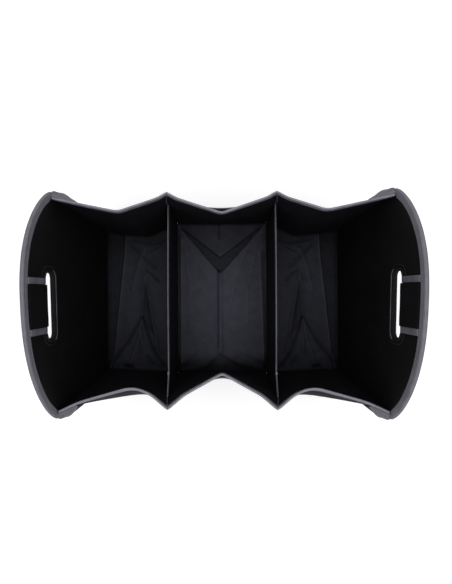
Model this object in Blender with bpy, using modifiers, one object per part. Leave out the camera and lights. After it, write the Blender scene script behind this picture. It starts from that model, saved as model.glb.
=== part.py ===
"""Collapsible organizer for a car boot, standing open.

Two arched end panels with handle slots, two dividers and long walls of cloth
that fold inward in a V in each of the three bays. Sizes are in metres and +Z is
up. X runs along the organizer and +Y is its back. The origin is on the floor,
midway between the end panels and midway along their width.
"""
import math

import bmesh
import bpy
import numpy as np

# Cloth, board and tape
GAP = 0.0003
END_BOARD = 0.0050
WALL_CLOTH = 0.0014
DIVIDER_BOARD = 0.0016
BASE_CLOTH = 0.0012
POCKET_CLOTH = 0.0010
SLEEVE_CLOTH = 0.0016
TAPE = 0.0006

# Long walls
RIM_Z = 0.2800
SIDE_HALF = 0.1620
MIDDLE_SHIFT = 0.0060
RIM_TAPE_DEPTH = 0.0100
SEAM_TAPE_WIDTH = 0.0060

# End panels: half widths against the long sides, arch, and outward lean and twist
END_X = 0.2500
END_FOOT_INSET = 0.0040
END_SHOULDER_FLARE = 0.0112
SHOULDER_DROP = 0.0090
ARCH_RISE = 0.0900
ARCH_POWER = 2.40
ARCH_ROUND = 1.25
END_LEAN = 0.0104
END_TWIST = 0.0083
ARCH_TAPE_DEPTH = 0.0070
SIDE_TAPE_DEPTH = 0.0040
ARCH_TAPE_START = 0.0040
ARCH_TAPE_RUN = 0.0200

# Handle slot, its sleeve and its tapes
SLOT_LENGTH = 0.0994
SLOT_HEIGHT = 0.0262
SLOT_CORNER = 0.0090
SLOT_RIM_DEPTH = 0.0035
SLOT_STEPS = 5
GRIP_HEIGHT = 0.0575
GRIP_TAPE_INSET = 0.0142
GRIP_TAPE_WIDTH = 0.0090

# Dividers: the top edge rises over its last stretch before the front wall
DIVIDER_X = 0.0905
DIVIDER_DROP = 0.0750
DIVIDER_RISE = 0.0220
DIVIDER_RISE_RUN = 0.0380
DIVIDER_TAPE_DEPTH = 0.0080
CORNER_LEAN = 0.0080

# Folds of the long walls: where they lie, and how far in they reach
NECK_X = 0.2170
BACK_FOLD_X = 0.1580
FRONT_FOLD_X = 0.1340
BACK_NECK_RIM = 0.0147
BACK_NECK_FOOT = 0.0220
FRONT_NECK_RIM = 0.0095
FRONT_NECK_FOOT = 0.0065
BACK_FOLD_RIM = 0.0270
BACK_FOLD_FOOT = 0.0270
FRONT_FOLD_RIM = 0.0330
FRONT_FOLD_FOOT = 0.0030
BACK_MIDDLE_RIM = 0.0305
FRONT_MIDDLE_RIM = 0.0525
FRONT_FOLD_ROUND = 0.0180
FRONT_NECK_ROLL = 0.0105
FRONT_FOLD_ROLL = 0.0015
STRAIGHT_LEAN = 1.0
ROLLED_LEAN = 7.0

# Pinch of the walls beside a divider's seam: how far along, and how deep at the rim
BACK_PINCH_RUN = 0.0120
BACK_PINCH = 0.0028
FRONT_PINCH_RUN = 0.0230
FRONT_PINCH = 0.0050

# Corner wings, which wrap from an end panel's side round to the long wall
BACK_WING_REACH = 0.0345
FRONT_WING_REACH = 0.0270
WING_BEND = 0.0155
WING_ROUND = 0.0108
WING_TAPE_DEPTH = 0.0080

# Outside pockets of the middle bay
POCKET_Z = 0.1900
POCKET_TAPE_DEPTH = 0.0080
BACK_POCKET_SAG = 0.0080
FRONT_POCKET_SAG = 0.0290
POCKET_ROUND = 0.0180

# Folds of the base cloth
BASE_MARGIN = 0.0080
GUSSET_ROOT_INSET = 0.0200
GUSSET_LENGTH = 0.0690
GUSSET_HEIGHT = 0.0100
VALLEY_LENGTH = 0.0350
RIDGE_INSET = 0.0420
RIDGE_HEIGHT = 0.0070
CREASE_HEIGHT = 0.0110

# Creases of an outer base: name, share of the bay's width from the divider,
# share of its depth from the front, and share of the crease height
OUTER_CREASES = (
    ("strip_back", 0.75, 0.82, 0.0),
    ("strip_mid", 0.82, 0.55, 0.0),
    ("strip_front", 0.92, 0.15, 0.0),
    ("crumple", 0.37, 0.76, 0.5),
    ("peak", 0.48, 0.62, 1.0),
    ("fork", 0.54, 0.35, 0.9),
    ("fork_left", 0.86, 0.10, 0.2),
    ("fork_mid", 0.53, 0.15, 0.6),
    ("fork_right", 0.30, 0.14, 0.3),
)

# Worked out from the sizes above
END_FOOT_HALF = SIDE_HALF - END_FOOT_INSET
END_SHOULDER_HALF = SIDE_HALF + END_SHOULDER_FLARE
GRIP_TAPE_Y = SLOT_LENGTH / 2 - GRIP_TAPE_INSET
SHOULDER_Z = RIM_Z - SHOULDER_DROP
PEAK_Z = SHOULDER_Z + ARCH_RISE
SLOT_TOP_Z = PEAK_Z - GRIP_HEIGHT
SLOT_MID_Z = SLOT_TOP_Z - SLOT_HEIGHT / 2
DIVIDER_TOP_Z = RIM_Z - DIVIDER_DROP
CORNER_KNEE_Z = DIVIDER_TOP_Z + DIVIDER_RISE
WALL_TOP_Z = RIM_Z - TAPE - GAP
WALL_LOW_Z = WALL_TOP_Z - RIM_TAPE_DEPTH
WALL_FOOT_Z = BASE_CLOTH + 2 * GAP
WALL_LEVELS = (
    WALL_FOOT_Z,
    0.25 * CORNER_KNEE_Z,
    0.50 * CORNER_KNEE_Z,
    0.75 * CORNER_KNEE_Z,
    CORNER_KNEE_Z,
    (CORNER_KNEE_Z + WALL_LOW_Z) / 2,
    WALL_LOW_Z,
    WALL_TOP_Z,
)
SEAM_INSET = SIDE_TAPE_DEPTH + GAP + WALL_CLOTH
CORNER_CLEAR = 0.4 * WALL_CLOTH
WING_CLEAR = 2 * GAP + TAPE + GAP + WALL_CLOTH / 2
DIVIDER_CLEAR = DIVIDER_BOARD / 2 + GAP + CORNER_CLEAR
SLOT_CUTTER_LENGTH = 8 * (END_LEAN + END_BOARD)
CREASE_ANGLE = math.radians(25.0)
BACK, FRONT = 1, -1

CLOTH_BLACK = (0.010, 0.010, 0.011)
LINING_GREY = (0.028, 0.029, 0.036)
TAPE_GREY = (0.150, 0.148, 0.165)
SLEEVE_BLACK = (0.014, 0.012, 0.016)


def clear_scene():
    """Remove every object that the file opened with."""
    for item in list(bpy.data.objects):
        bpy.data.objects.remove(item, do_unlink=True)


def new_collection(name):
    """Return a new collection linked to the scene."""
    collection = bpy.data.collections.new(name)
    bpy.context.scene.collection.children.link(collection)
    return collection


def new_material(name, color, roughness):
    """Return a Principled material of one colour."""
    material = bpy.data.materials.new(name)
    material.use_nodes = True
    shader = material.node_tree.nodes["Principled BSDF"]
    shader.inputs["Base Color"].default_value = (*color, 1.0)
    shader.inputs["Roughness"].default_value = roughness
    shader.inputs["Metallic"].default_value = 0.0
    return material


def add_object(name, data, color, roughness):
    """Link an object with its own material to the organizer's collection."""
    item = bpy.data.objects.new(name, data)
    item.data.materials.append(new_material(name, color, roughness))
    ORGANIZER.objects.link(item)
    return item


def add_solidify(item, thickness, offset):
    """Give an open sheet its thickness: offset 0 is centred, 1 is outward."""
    shell = item.modifiers.new("thickness", "SOLIDIFY")
    shell.thickness = thickness
    shell.offset = offset
    shell.use_even_offset = True
    shell.use_rim = True


def sheet_from_grid(name, grid, thickness, offset, color, roughness, turned=()):
    """Make a sheet of cloth or board from a grid of points, rows by columns.

    Each cell is split along its diagonal, and along the other one in the
    columns of turned, so that a tape and the sheet under it bend alike.
    """
    rows, columns = grid.shape[:2]
    faces = []
    for row in range(rows - 1):
        for column in range(columns - 1):
            first = row * columns + column
            above = first + columns
            if column in turned:
                faces.append((first, above, first + 1))
                faces.append((above, above + 1, first + 1))
            else:
                faces.append((first, above, above + 1))
                faces.append((first, above + 1, first + 1))
    mesh = bpy.data.meshes.new(name)
    mesh.from_pydata(grid.reshape(-1, 3).tolist(), [], faces)
    mesh.shade_smooth()
    mesh.set_sharp_from_angle(angle=CREASE_ANGLE)
    item = add_object(name, mesh, color, roughness)
    add_solidify(item, thickness, offset)
    return item


def unit(vectors):
    """Scale vectors to length 1."""
    return vectors / np.linalg.norm(vectors, axis=-1, keepdims=True)


def mitre_normals(path, ups):
    """Return the sideways directions along a path, mitred where it turns."""
    along = unit(np.diff(path, axis=0))
    side_before = unit(np.cross(ups[1:], along))
    side_after = unit(np.cross(ups[:-1], along))
    first = np.vstack([side_after[:1], side_before])
    second = np.vstack([side_after, side_before[-1:]])
    lengths = 1.0 + np.sum(first * second, axis=1, keepdims=True)
    return (first + second) / lengths


def edge_tape(name, edge, low, clear, color=TAPE_GREY, thickness=TAPE):
    """Fold a tape over an edge: down one face to the row low, and down the other."""
    ups = unit(edge - low)
    sides = mitre_normals(edge, ups) * clear
    over = edge + ups * GAP
    grid = np.stack([low - sides, over - sides, over + sides, low + sides], axis=1)
    return sheet_from_grid(name, grid, thickness, 1.0, color, 0.75, turned=(2,))


def ramp(value, start, end):
    """Rise smoothly from 0 at start to 1 at end."""
    share = np.clip((value - start) / (end - start), 0.0, 1.0)
    return share * share * (3.0 - 2.0 * share)


def end_face_x(y, z):
    """Return the distance of an end panel's inner face from the middle."""
    lean = END_LEAN + END_TWIST * y / END_SHOULDER_HALF
    return END_X + (z / PEAK_Z) ** 2 * lean


def end_middle_point(side, y, z):
    """Return points on the middle surface of an end panel."""
    x = side * (end_face_x(y, z) + END_BOARD / 2)
    return np.stack(np.broadcast_arrays(x, y, z), axis=-1)


def edge_half(z):
    """Return half the width of an end panel at height z."""
    straight = END_FOOT_HALF + (END_SHOULDER_HALF - END_FOOT_HALF) * z / SHOULDER_Z
    share = np.clip((z - SHOULDER_Z) / ARCH_RISE, 0.0, 1.0)
    arched = END_SHOULDER_HALF * (1.0 - share ** ARCH_ROUND) ** (1.0 / ARCH_POWER)
    return np.where(z < SHOULDER_Z, straight, arched)


def arch_z(y):
    """Return the height of an end panel's arch at y."""
    share = 1.0 - np.minimum(np.abs(y / END_SHOULDER_HALF), 1.0) ** ARCH_POWER
    return SHOULDER_Z + ARCH_RISE * share ** (1.0 / ARCH_ROUND)


def end_panel_grid():
    """Return y and z of an end panel's grid: columns rise from foot to arch."""
    turn = np.linspace(-math.pi / 2, math.pi / 2, 25)
    top_z = arch_z(END_SHOULDER_HALF * np.sin(turn))
    z = np.linspace(0.0, 1.0, 7)[:, None] * top_z[None, :]
    widest = np.minimum(z, SHOULDER_Z)
    half = END_FOOT_HALF + (END_SHOULDER_HALF - END_FOOT_HALF) * widest / SHOULDER_Z
    return half * np.sin(turn)[None, :], z


def rounded_slot(half_length, half_height, corner, steps):
    """Return y and z of a slot's edge, from its top centre once round."""
    points = []
    for centre_y, centre_z, start in (
        (half_length - corner, half_height - corner, 90),
        (half_length - corner, corner - half_height, 0),
        (corner - half_length, corner - half_height, -90),
        (corner - half_length, half_height - corner, -180),
    ):
        for step in range(steps + 1):
            angle = math.radians(start - 90.0 * step / steps)
            y = centre_y + corner * math.cos(angle)
            z = centre_z + corner * math.sin(angle)
            points.append((y, z))
    return np.array(points)


def slot_cutter(side):
    """Return the block with round corners that cuts a handle slot."""
    mesh = bpy.data.meshes.new("slot_cutter")
    block = bmesh.new()
    bmesh.ops.create_cube(block, size=1.0)
    for vertex in block.verts:
        vertex.co.x *= SLOT_CUTTER_LENGTH
        vertex.co.y *= SLOT_LENGTH
        vertex.co.z *= SLOT_HEIGHT
    corners = [edge for edge in block.edges
               if abs(edge.verts[0].co.x - edge.verts[1].co.x) > SLOT_CUTTER_LENGTH / 2]
    bmesh.ops.bevel(block, geom=corners, offset=SLOT_CORNER, segments=SLOT_STEPS,
                    profile=0.5, affect="EDGES")
    block.to_mesh(mesh)
    block.free()
    cutter = bpy.data.objects.new("slot_cutter", mesh)
    cutter.location = (side * END_X, 0.0, SLOT_MID_Z)
    cutter.hide_render = True
    cutter.display_type = "WIRE"
    CUTTERS.objects.link(cutter)
    return cutter


def make_end_panel(side, word):
    """Cloth-covered board with an arched top, leaning out, with a handle slot."""
    y, z = end_panel_grid()
    grid = end_middle_point(side, y, z)
    panel = sheet_from_grid("end_panel_" + word, grid, END_BOARD, 0.0, CLOTH_BLACK, 0.9)
    cut = panel.modifiers.new("handle slot", "BOOLEAN")
    cut.operation = "DIFFERENCE"
    cut.object = slot_cutter(side)


def make_end_binding(side, word):
    """Tape folded over the end panel's sides and arch, from foot to foot."""
    y, z = end_panel_grid()
    edge_y = np.concatenate([y[:-1, 0], y[-1, :], y[-2::-1, -1]])
    edge_z = np.concatenate([z[:-1, 0], z[-1, :], z[-2::-1, -1]])
    outline = np.stack([edge_y, edge_z], axis=1)
    along = unit(np.gradient(outline, axis=0))
    inward = np.stack([along[:, 1], -along[:, 0]], axis=1)
    depth = SIDE_TAPE_DEPTH + (ARCH_TAPE_DEPTH - SIDE_TAPE_DEPTH) * ramp(
        edge_z, RIM_Z + ARCH_TAPE_START, RIM_Z + ARCH_TAPE_START + ARCH_TAPE_RUN)
    inner = outline + inward * depth[:, None]
    inner[:, 1] = np.maximum(inner[:, 1], 0.0)
    inner[[0, -1], 1] = 0.0
    edge = end_middle_point(side, outline[:, 0], outline[:, 1])
    low = end_middle_point(side, inner[:, 0], inner[:, 1])
    edge_tape("end_binding_" + word, edge, low, END_BOARD / 2 + GAP)


def make_slot_rim(side, word):
    """Bound lip round the slot's ends and lower side, from tape to tape."""
    outline = rounded_slot(SLOT_LENGTH / 2, SLOT_HEIGHT / 2, SLOT_CORNER, SLOT_STEPS)
    start_y = GRIP_TAPE_Y + GRIP_TAPE_WIDTH / 2 + GAP
    top = SLOT_HEIGHT / 2
    outline = np.vstack([[(start_y, top)], outline, [(-start_y, top)]])
    outer = rounded_slot(
        SLOT_LENGTH / 2 + SLOT_RIM_DEPTH,
        SLOT_HEIGHT / 2 + SLOT_RIM_DEPTH,
        SLOT_CORNER + SLOT_RIM_DEPTH, SLOT_STEPS)
    deep = top + SLOT_RIM_DEPTH
    outer = np.vstack([[(start_y, deep)], outer, [(-start_y, deep)]])
    edge = end_middle_point(side, outline[:, 0], outline[:, 1] + SLOT_MID_Z)
    low = end_middle_point(side, outer[:, 0], outer[:, 1] + SLOT_MID_Z)
    edge_tape("slot_rim_" + word, edge, low, END_BOARD / 2 + GAP)


def grip_wrap(name, side, centre_y, half_width, thickness, color):
    """Wrap cloth over the grip, from the end binding through the slot and back."""
    y = np.linspace(centre_y - half_width, centre_y + half_width, 5)
    z = np.full_like(y, SLOT_TOP_Z)
    high = arch_z(y) - ARCH_TAPE_DEPTH - 2 * GAP
    edge = end_middle_point(side, y, z)
    low = end_middle_point(side, y, high)
    edge_tape(name, edge, low, END_BOARD / 2 + GAP, color, thickness)


def make_grip(side, word):
    """Soft sleeve over the grip and the two tapes that hold its ends."""
    half = GRIP_TAPE_Y - GRIP_TAPE_WIDTH / 2 - 2 * GAP
    grip_wrap("grip_sleeve_" + word, side, 0.0, half, SLEEVE_CLOTH, SLEEVE_BLACK)
    for place, sign in (("back", 1), ("front", -1)):
        name = "grip_tape_" + word + "_" + place
        grip_wrap(name, side, sign * GRIP_TAPE_Y, GRIP_TAPE_WIDTH / 2,
                  SLEEVE_CLOTH + TAPE / 2, TAPE_GREY)


def corner_x(z):
    """Return how far from the middle the wall's corner at a divider stands."""
    share = max(0.0, (z - CORNER_KNEE_Z) / (RIM_Z - CORNER_KNEE_Z))
    return DIVIDER_X - CORNER_LEAN * share


def side_y(face, depth):
    """Return y of the back or front wall where it is folded in by depth."""
    return face * (SIDE_HALF - depth) + MIDDLE_SHIFT


def fold_depth(rim, foot, z, lean):
    """Return how far in a fold reaches at height z."""
    return foot + (rim - foot) * (z / RIM_Z) ** lean


def roll_share(z):
    """Return how far a front wall rolls out at z: none at its foot and its rim."""
    return math.sin(math.pi * (z / RIM_Z) ** 3)


def seam_point(end, fold):
    """Return the point of a wall where the tape over its seam stops."""
    return end + unit(fold - end) * SEAM_TAPE_WIDTH


def pinched(face, corner, fold, z):
    """Return the point beside a seam where a wall is drawn in by its stitching."""
    run, depth = BACK_PINCH_RUN, BACK_PINCH
    if face == FRONT:
        run, depth = FRONT_PINCH_RUN, FRONT_PINCH
    point = corner + (fold - corner) * run / abs(fold[0] - corner[0])
    point[1] -= face * depth * (z / RIM_Z) ** 2
    return point


def outer_corners(face, z):
    """Return a right-hand outer wall's plan at z: divider, pinch, fold, neck, end."""
    if face == BACK:
        fold_x = BACK_FOLD_X
        fold = fold_depth(BACK_FOLD_RIM, BACK_FOLD_FOOT, z, STRAIGHT_LEAN)
        neck = fold_depth(BACK_NECK_RIM, BACK_NECK_FOOT, z, STRAIGHT_LEAN)
    else:
        fold_x = FRONT_FOLD_X
        fold = fold_depth(FRONT_FOLD_RIM, FRONT_FOLD_FOOT, z, ROLLED_LEAN)
        fold -= FRONT_FOLD_ROLL * roll_share(z)
        neck = fold_depth(FRONT_NECK_RIM, FRONT_NECK_FOOT, z, ROLLED_LEAN)
        neck -= FRONT_NECK_ROLL * roll_share(z)
    end_y = face * (float(edge_half(z)) - SEAM_INSET)
    end_x = end_face_x(end_y, z) - GAP - 0.5 * WALL_CLOTH
    corner = np.array((corner_x(z) + DIVIDER_CLEAR, side_y(face, 0.0)))
    folded = np.array((fold_x, side_y(face, fold)))
    return np.array([
        corner,
        pinched(face, corner, folded, z),
        folded,
        (NECK_X, side_y(face, neck)),
        (end_x, end_y),
    ])


def middle_corners(face, z):
    """Return a middle wall's plan at z: left divider, pinch, fold, pinch, divider."""
    rim = BACK_MIDDLE_RIM if face == BACK else FRONT_MIDDLE_RIM
    fold = fold_depth(rim, 0.0, z, STRAIGHT_LEAN)
    end_x = corner_x(z) - DIVIDER_CLEAR
    corner = np.array((-end_x, side_y(face, 0.0)))
    folded = np.array((0.0, side_y(face, fold)))
    pinch = pinched(face, corner, folded, z)
    mirror = (-1.0, 1.0)
    return np.array([corner, pinch, folded, pinch * mirror, corner * mirror])


def round_fold(corners, index, radius, steps):
    """Replace one corner by a smooth curve that starts and ends radius away."""
    corner = corners[index]
    before = corner + unit(corners[index - 1] - corner) * radius
    after = corner + unit(corners[index + 1] - corner) * radius
    share = np.linspace(0.0, 1.0, steps + 1)[:, None]
    curve = (1 - share) ** 2 * before + 2 * share * (1 - share) * corner
    curve = curve + share ** 2 * after
    return np.vstack([corners[:index], curve, corners[index + 1:]])


def spread(corners, counts):
    """Divide each stretch between corners into equal parts."""
    points = [corners[:1]]
    for start, end, count in zip(corners[:-1], corners[1:], counts):
        share = np.linspace(0.0, 1.0, count + 1)[1:, None]
        points.append(start + (end - start) * share)
    return np.vstack(points)


def wall_plan(bay, face, z):
    """Return the points of a wall's plan at height z, from left to right."""
    if bay == "middle":
        left, pinch, fold, other, right = middle_corners(face, z)
        corners = (left, seam_point(left, pinch), pinch, fold,
                   other, seam_point(right, other), right)
        return spread(np.array(corners), (1, 1, 4, 4, 1, 1))
    corners = outer_corners(face, z)
    counts = (1, 1, 3, 4, 3)
    if face == FRONT:
        corners = round_fold(corners, 2, FRONT_FOLD_ROUND, 5)
        counts = (1, 1, 1, 1, 1, 1, 1, 1, 4, 3)
    seam = seam_point(corners[0], corners[1])
    plan = spread(np.vstack([corners[:1], [seam], corners[1:]]), counts)
    if bay == "left":
        return (plan * (-1.0, 1.0))[::-1]
    return plan


def at_height(plan, z):
    """Lift a plan to height z."""
    return np.column_stack([plan, np.full(len(plan), z)])


def make_wall(bay, face, word):
    """Cloth wall of one bay, folded inward in a V that changes with height."""
    rows = [at_height(wall_plan(bay, face, z), z) for z in WALL_LEVELS]
    name = word + "_wall_" + bay
    sheet_from_grid(name, np.array(rows), WALL_CLOTH, 0.0, CLOTH_BLACK, 0.85)


def meeting_point(left, right):
    """Return where the last stretch of left meets the first stretch of right."""
    along_left = left[-1] - left[-2]
    along_right = right[1] - right[0]
    between = right[0] - left[-1]
    cross = along_left[0] * along_right[1] - along_left[1] * along_right[0]
    if abs(cross) < 1e-9:
        return (left[-1] + right[0]) / 2
    share = (between[0] * along_right[1] - between[1] * along_right[0]) / cross
    return left[-1] + along_left * share


def side_plan(face, z):
    """Return the plan of a whole long side at height z, over its three bays."""
    left = wall_plan("left", face, z)
    middle = wall_plan("middle", face, z)
    right = wall_plan("right", face, z)
    first = meeting_point(left, middle)
    second = meeting_point(middle, right)
    plan = np.vstack([left[:-1], [first], middle[1:-1], [second], right[1:]])
    trim = GAP + TAPE + 0.5 * (WALL_CLOTH + 2 * GAP + 2 * TAPE)
    plan[0] += unit(plan[1] - plan[0]) * trim
    plan[-1] += unit(plan[-2] - plan[-1]) * trim
    return plan


def make_rim_binding(face, word):
    """One long tape folded over the top edge of a long side."""
    edge = at_height(side_plan(face, WALL_TOP_Z), WALL_TOP_Z)
    low = at_height(side_plan(face, WALL_LOW_Z), WALL_LOW_Z)
    edge_tape(word + "_binding", edge, low, WALL_CLOTH / 2 + GAP)


def seam_row(side, face, z):
    """Return a seam tape's points at z: on one wall, at the corner, on the next."""
    if side < 0:
        before = wall_plan("left", face, z)
        after = wall_plan("middle", face, z)
    else:
        before = wall_plan("middle", face, z)
        after = wall_plan("right", face, z)
    corner = meeting_point(before, after)
    plan = at_height(np.array([before[-2], corner, after[1]]), z)
    ups = np.tile((0.0, 0.0, 1.0), (3, 1))
    outward = mitre_normals(plan, ups)
    plan = plan + face * outward * (WALL_CLOTH / 2 + 2 * GAP)
    return plan if face == BACK else plan[::-1]


def make_seam_tape(side, face, name):
    """Tape over the outside of the seam where a divider is sewn between walls."""
    levels = [z for z in WALL_LEVELS if z < WALL_LOW_Z] + [WALL_LOW_Z - 2 * GAP]
    rows = [seam_row(side, face, z) for z in levels]
    turned = () if face == BACK else (0, 1)
    sheet_from_grid(name, np.array(rows), TAPE, 1.0, CLOTH_BLACK, 0.8, turned)


def wing_plan(face, side, z):
    """Return a wing's plan at z: a bend from the end panel's side to the wall."""
    wide = float(edge_half(z))
    edge_x = end_face_x(face * wide, z) + END_BOARD / 2
    start = np.array((edge_x, face * (wide + GAP + TAPE + WING_CLEAR)))
    neck, end = outer_corners(face, z)[3:]
    reach = BACK_WING_REACH if face == BACK else FRONT_WING_REACH
    share = (edge_x - reach - neck[0]) / (end[0] - neck[0])
    wall = neck + (end - neck) * share
    along = unit(end - neck)
    outward = face * np.array([-along[1], along[0]])
    finish = wall + outward * (WALL_CLOTH / 2 + WING_CLEAR)
    bend = start - np.array((WING_BEND, 0.0))
    plan = round_fold(np.array([start, bend, finish]), 1, WING_ROUND, 5)
    return plan * (side, 1.0)


def make_wing(face, side, name):
    """Cloth that wraps each corner from the end panel to the wall, with its tape."""
    top = WALL_LOW_Z - 2 * GAP - TAPE
    low = top - WING_TAPE_DEPTH
    levels = [z for z in WALL_LEVELS if z < low - WING_TAPE_DEPTH] + [low, top]
    rows = [at_height(wing_plan(face, side, z), z) for z in levels]
    sheet_from_grid("wing_" + name, np.array(rows), WALL_CLOTH, 0.0, CLOTH_BLACK, 0.85)
    edge_tape("wing_binding_" + name, rows[-1], rows[-2], WALL_CLOTH / 2 + GAP)


def divider_outline():
    """Return y and z of a divider's outline."""
    back = side_y(BACK, GAP - WALL_CLOTH / 2)
    front = side_y(FRONT, GAP - WALL_CLOTH / 2)
    knee = front + DIVIDER_RISE_RUN
    return [
        (back, 0.0),
        (back, DIVIDER_TOP_Z),
        (knee, DIVIDER_TOP_Z),
        (front, CORNER_KNEE_Z - GAP),
        (front, 0.0),
    ]


def make_divider(side, word):
    """Cloth-covered board between two bays, with tape over its top edge."""
    outline = divider_outline()
    curve = bpy.data.curves.new("divider_" + word, "CURVE")
    curve.dimensions = "2D"
    curve.fill_mode = "BOTH"
    curve.extrude = DIVIDER_BOARD / 2
    spline = curve.splines.new("POLY")
    spline.points.add(len(outline) - 1)
    for point, (y, z) in zip(spline.points, outline):
        point.co = (y, z, 0.0, 1.0)
    spline.use_cyclic_u = True
    board = add_object("divider_" + word, curve, CLOTH_BLACK, 0.85)
    board.location = (side * DIVIDER_X, 0.0, 0.0)
    board.rotation_euler = (math.pi / 2, 0.0, math.pi / 2)

    back, knee, front = (np.array(outline[i]) for i in (1, 2, 3))
    end_trim = 2 * WALL_CLOTH + 2 * TAPE
    back[0] -= end_trim
    front = front + unit(knee - front) * end_trim
    top = np.array([back, (back + knee) / 2, knee, front])
    x = np.full(4, side * DIVIDER_X)
    edge = np.column_stack([x, top[:, 0], top[:, 1]])
    low = edge - np.array([0.0, 0.0, DIVIDER_TAPE_DEPTH])
    edge_tape("divider_binding_" + word, edge, low, DIVIDER_BOARD / 2 + GAP)


def pocket_plan(face, z):
    """Return a pocket's plan at z, from the left seam tape to the right one."""
    corners = middle_corners(face, z)
    reach = SEAM_TAPE_WIDTH + 4 * GAP
    near = WALL_CLOTH / 2 + 2 * GAP + POCKET_CLOTH / 2
    off = near + (TAPE + GAP) * ramp(z, 0.0, POCKET_Z - POCKET_TAPE_DEPTH)
    sag = BACK_POCKET_SAG if face == BACK else FRONT_POCKET_SAG
    along = unit(corners[1] - corners[0])
    outward = face * np.array([-along[1], along[0]])
    start = corners[0] + along * reach + outward * off
    middle_y = side_y(face, fold_depth(sag, 0.0, z / POCKET_Z * RIM_Z, STRAIGHT_LEAN))
    middle = np.array([0.0, middle_y + face * near])
    plan = np.array([start, middle, start * (-1.0, 1.0)])
    return spread(round_fold(plan, 1, POCKET_ROUND, 5), (4, 1, 1, 1, 1, 1, 4))


def make_pocket(face, word):
    """Outside pocket of the middle bay, its mouth standing off the folded wall."""
    top = POCKET_Z - TAPE - GAP
    low = top - POCKET_TAPE_DEPTH
    levels = [z for z in WALL_LEVELS if z < low - POCKET_TAPE_DEPTH] + [low, top]
    rows = [at_height(pocket_plan(face, z), z) for z in levels]
    name = word + "_pocket"
    sheet_from_grid(name, np.array(rows), POCKET_CLOTH, 0.0, CLOTH_BLACK, 0.85)
    edge_tape(name + "_binding", rows[-1], rows[-2], POCKET_CLOTH / 2 + GAP)


def folded_base(name, ring, folds, faces):
    """Make a bay's base: a flat margin round a patch of creased cloth.

    ring holds the outline, anticlockwise, as name and x, y. folds holds the
    points of the creases as name and x, y, z, and faces joins them by name.
    """
    outline = np.array([point for _, point in ring])
    ups = np.tile((0.0, 0.0, 1.0), (len(outline) + 2, 1))
    closed = at_height(np.vstack([outline[-1], outline, outline[0]]), 0.0)
    inner = closed + mitre_normals(closed, ups) * BASE_MARGIN
    inner = inner[1:-1]
    points = [tuple(point) for point in at_height(outline, 0.0)]
    points += [tuple(point) for point in inner]
    index = {word: len(ring) + i for i, (word, _) in enumerate(ring)}
    for word, point in folds:
        index[word] = len(points)
        points.append(point)
    count = len(ring)
    strips = [(i, (i + 1) % count, count + (i + 1) % count, count + i)
              for i in range(count)]
    patch = [tuple(index[word] for word in face.split()) for face in faces]
    mesh = bpy.data.meshes.new(name)
    mesh.from_pydata(points, [], strips + patch)
    item = add_object(name, mesh, LINING_GREY, 0.45)
    add_solidify(item, BASE_CLOTH, 1.0)


def mirror_ring(ring, folds, faces):
    """Return the mirror image in X of a base's outline, folds and faces."""
    ring = [(word, (-x, y)) for word, (x, y) in ring][::-1]
    folds = [(word, (-x, y, z)) for word, (x, y, z) in folds]
    faces = [" ".join(face.split()[::-1]) for face in faces]
    return ring, folds, faces


def make_middle_base():
    """Middle base: a gusset at the back wall and a ridge that runs to the front."""
    x = DIVIDER_X - DIVIDER_BOARD / 2 - GAP
    back = side_y(BACK, -WALL_CLOTH / 2)
    front = side_y(FRONT, -WALL_CLOTH / 2)
    ring = [
        ("front_left", (-x, front)), ("front_mid", (0.0, front)),
        ("front_right", (x, front)), ("back_right", (x, back)),
        ("back_mid", (0.0, back)), ("back_left", (-x, back)),
    ]
    gusset_y = back - BASE_MARGIN - GUSSET_LENGTH
    valley_y = gusset_y - VALLEY_LENGTH
    folds = [
        ("gusset_root", (0.0, back - GUSSET_ROOT_INSET, 0.6 * GUSSET_HEIGHT)),
        ("gusset_tip", (0.0, gusset_y, GUSSET_HEIGHT)),
        ("valley", (0.0, valley_y, 0.1 * RIDGE_HEIGHT)),
        ("ridge_start", (0.0, valley_y - BASE_MARGIN, 0.8 * RIDGE_HEIGHT)),
        ("ridge_end", (0.0, front + RIDGE_INSET, RIDGE_HEIGHT)),
    ]
    half = [
        "back_left gusset_root back_mid",
        "back_left gusset_tip gusset_root",
        "back_left valley gusset_tip",
        "back_left ridge_start valley",
        "back_left front_left ridge_end ridge_start",
        "front_left front_mid ridge_end",
    ]
    swap = {"back_left": "back_right", "front_left": "front_right"}
    other = [" ".join(swap.get(word, word) for word in face.split()[::-1])
             for face in half]
    folded_base("base_middle", ring, folds, half + other)


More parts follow.
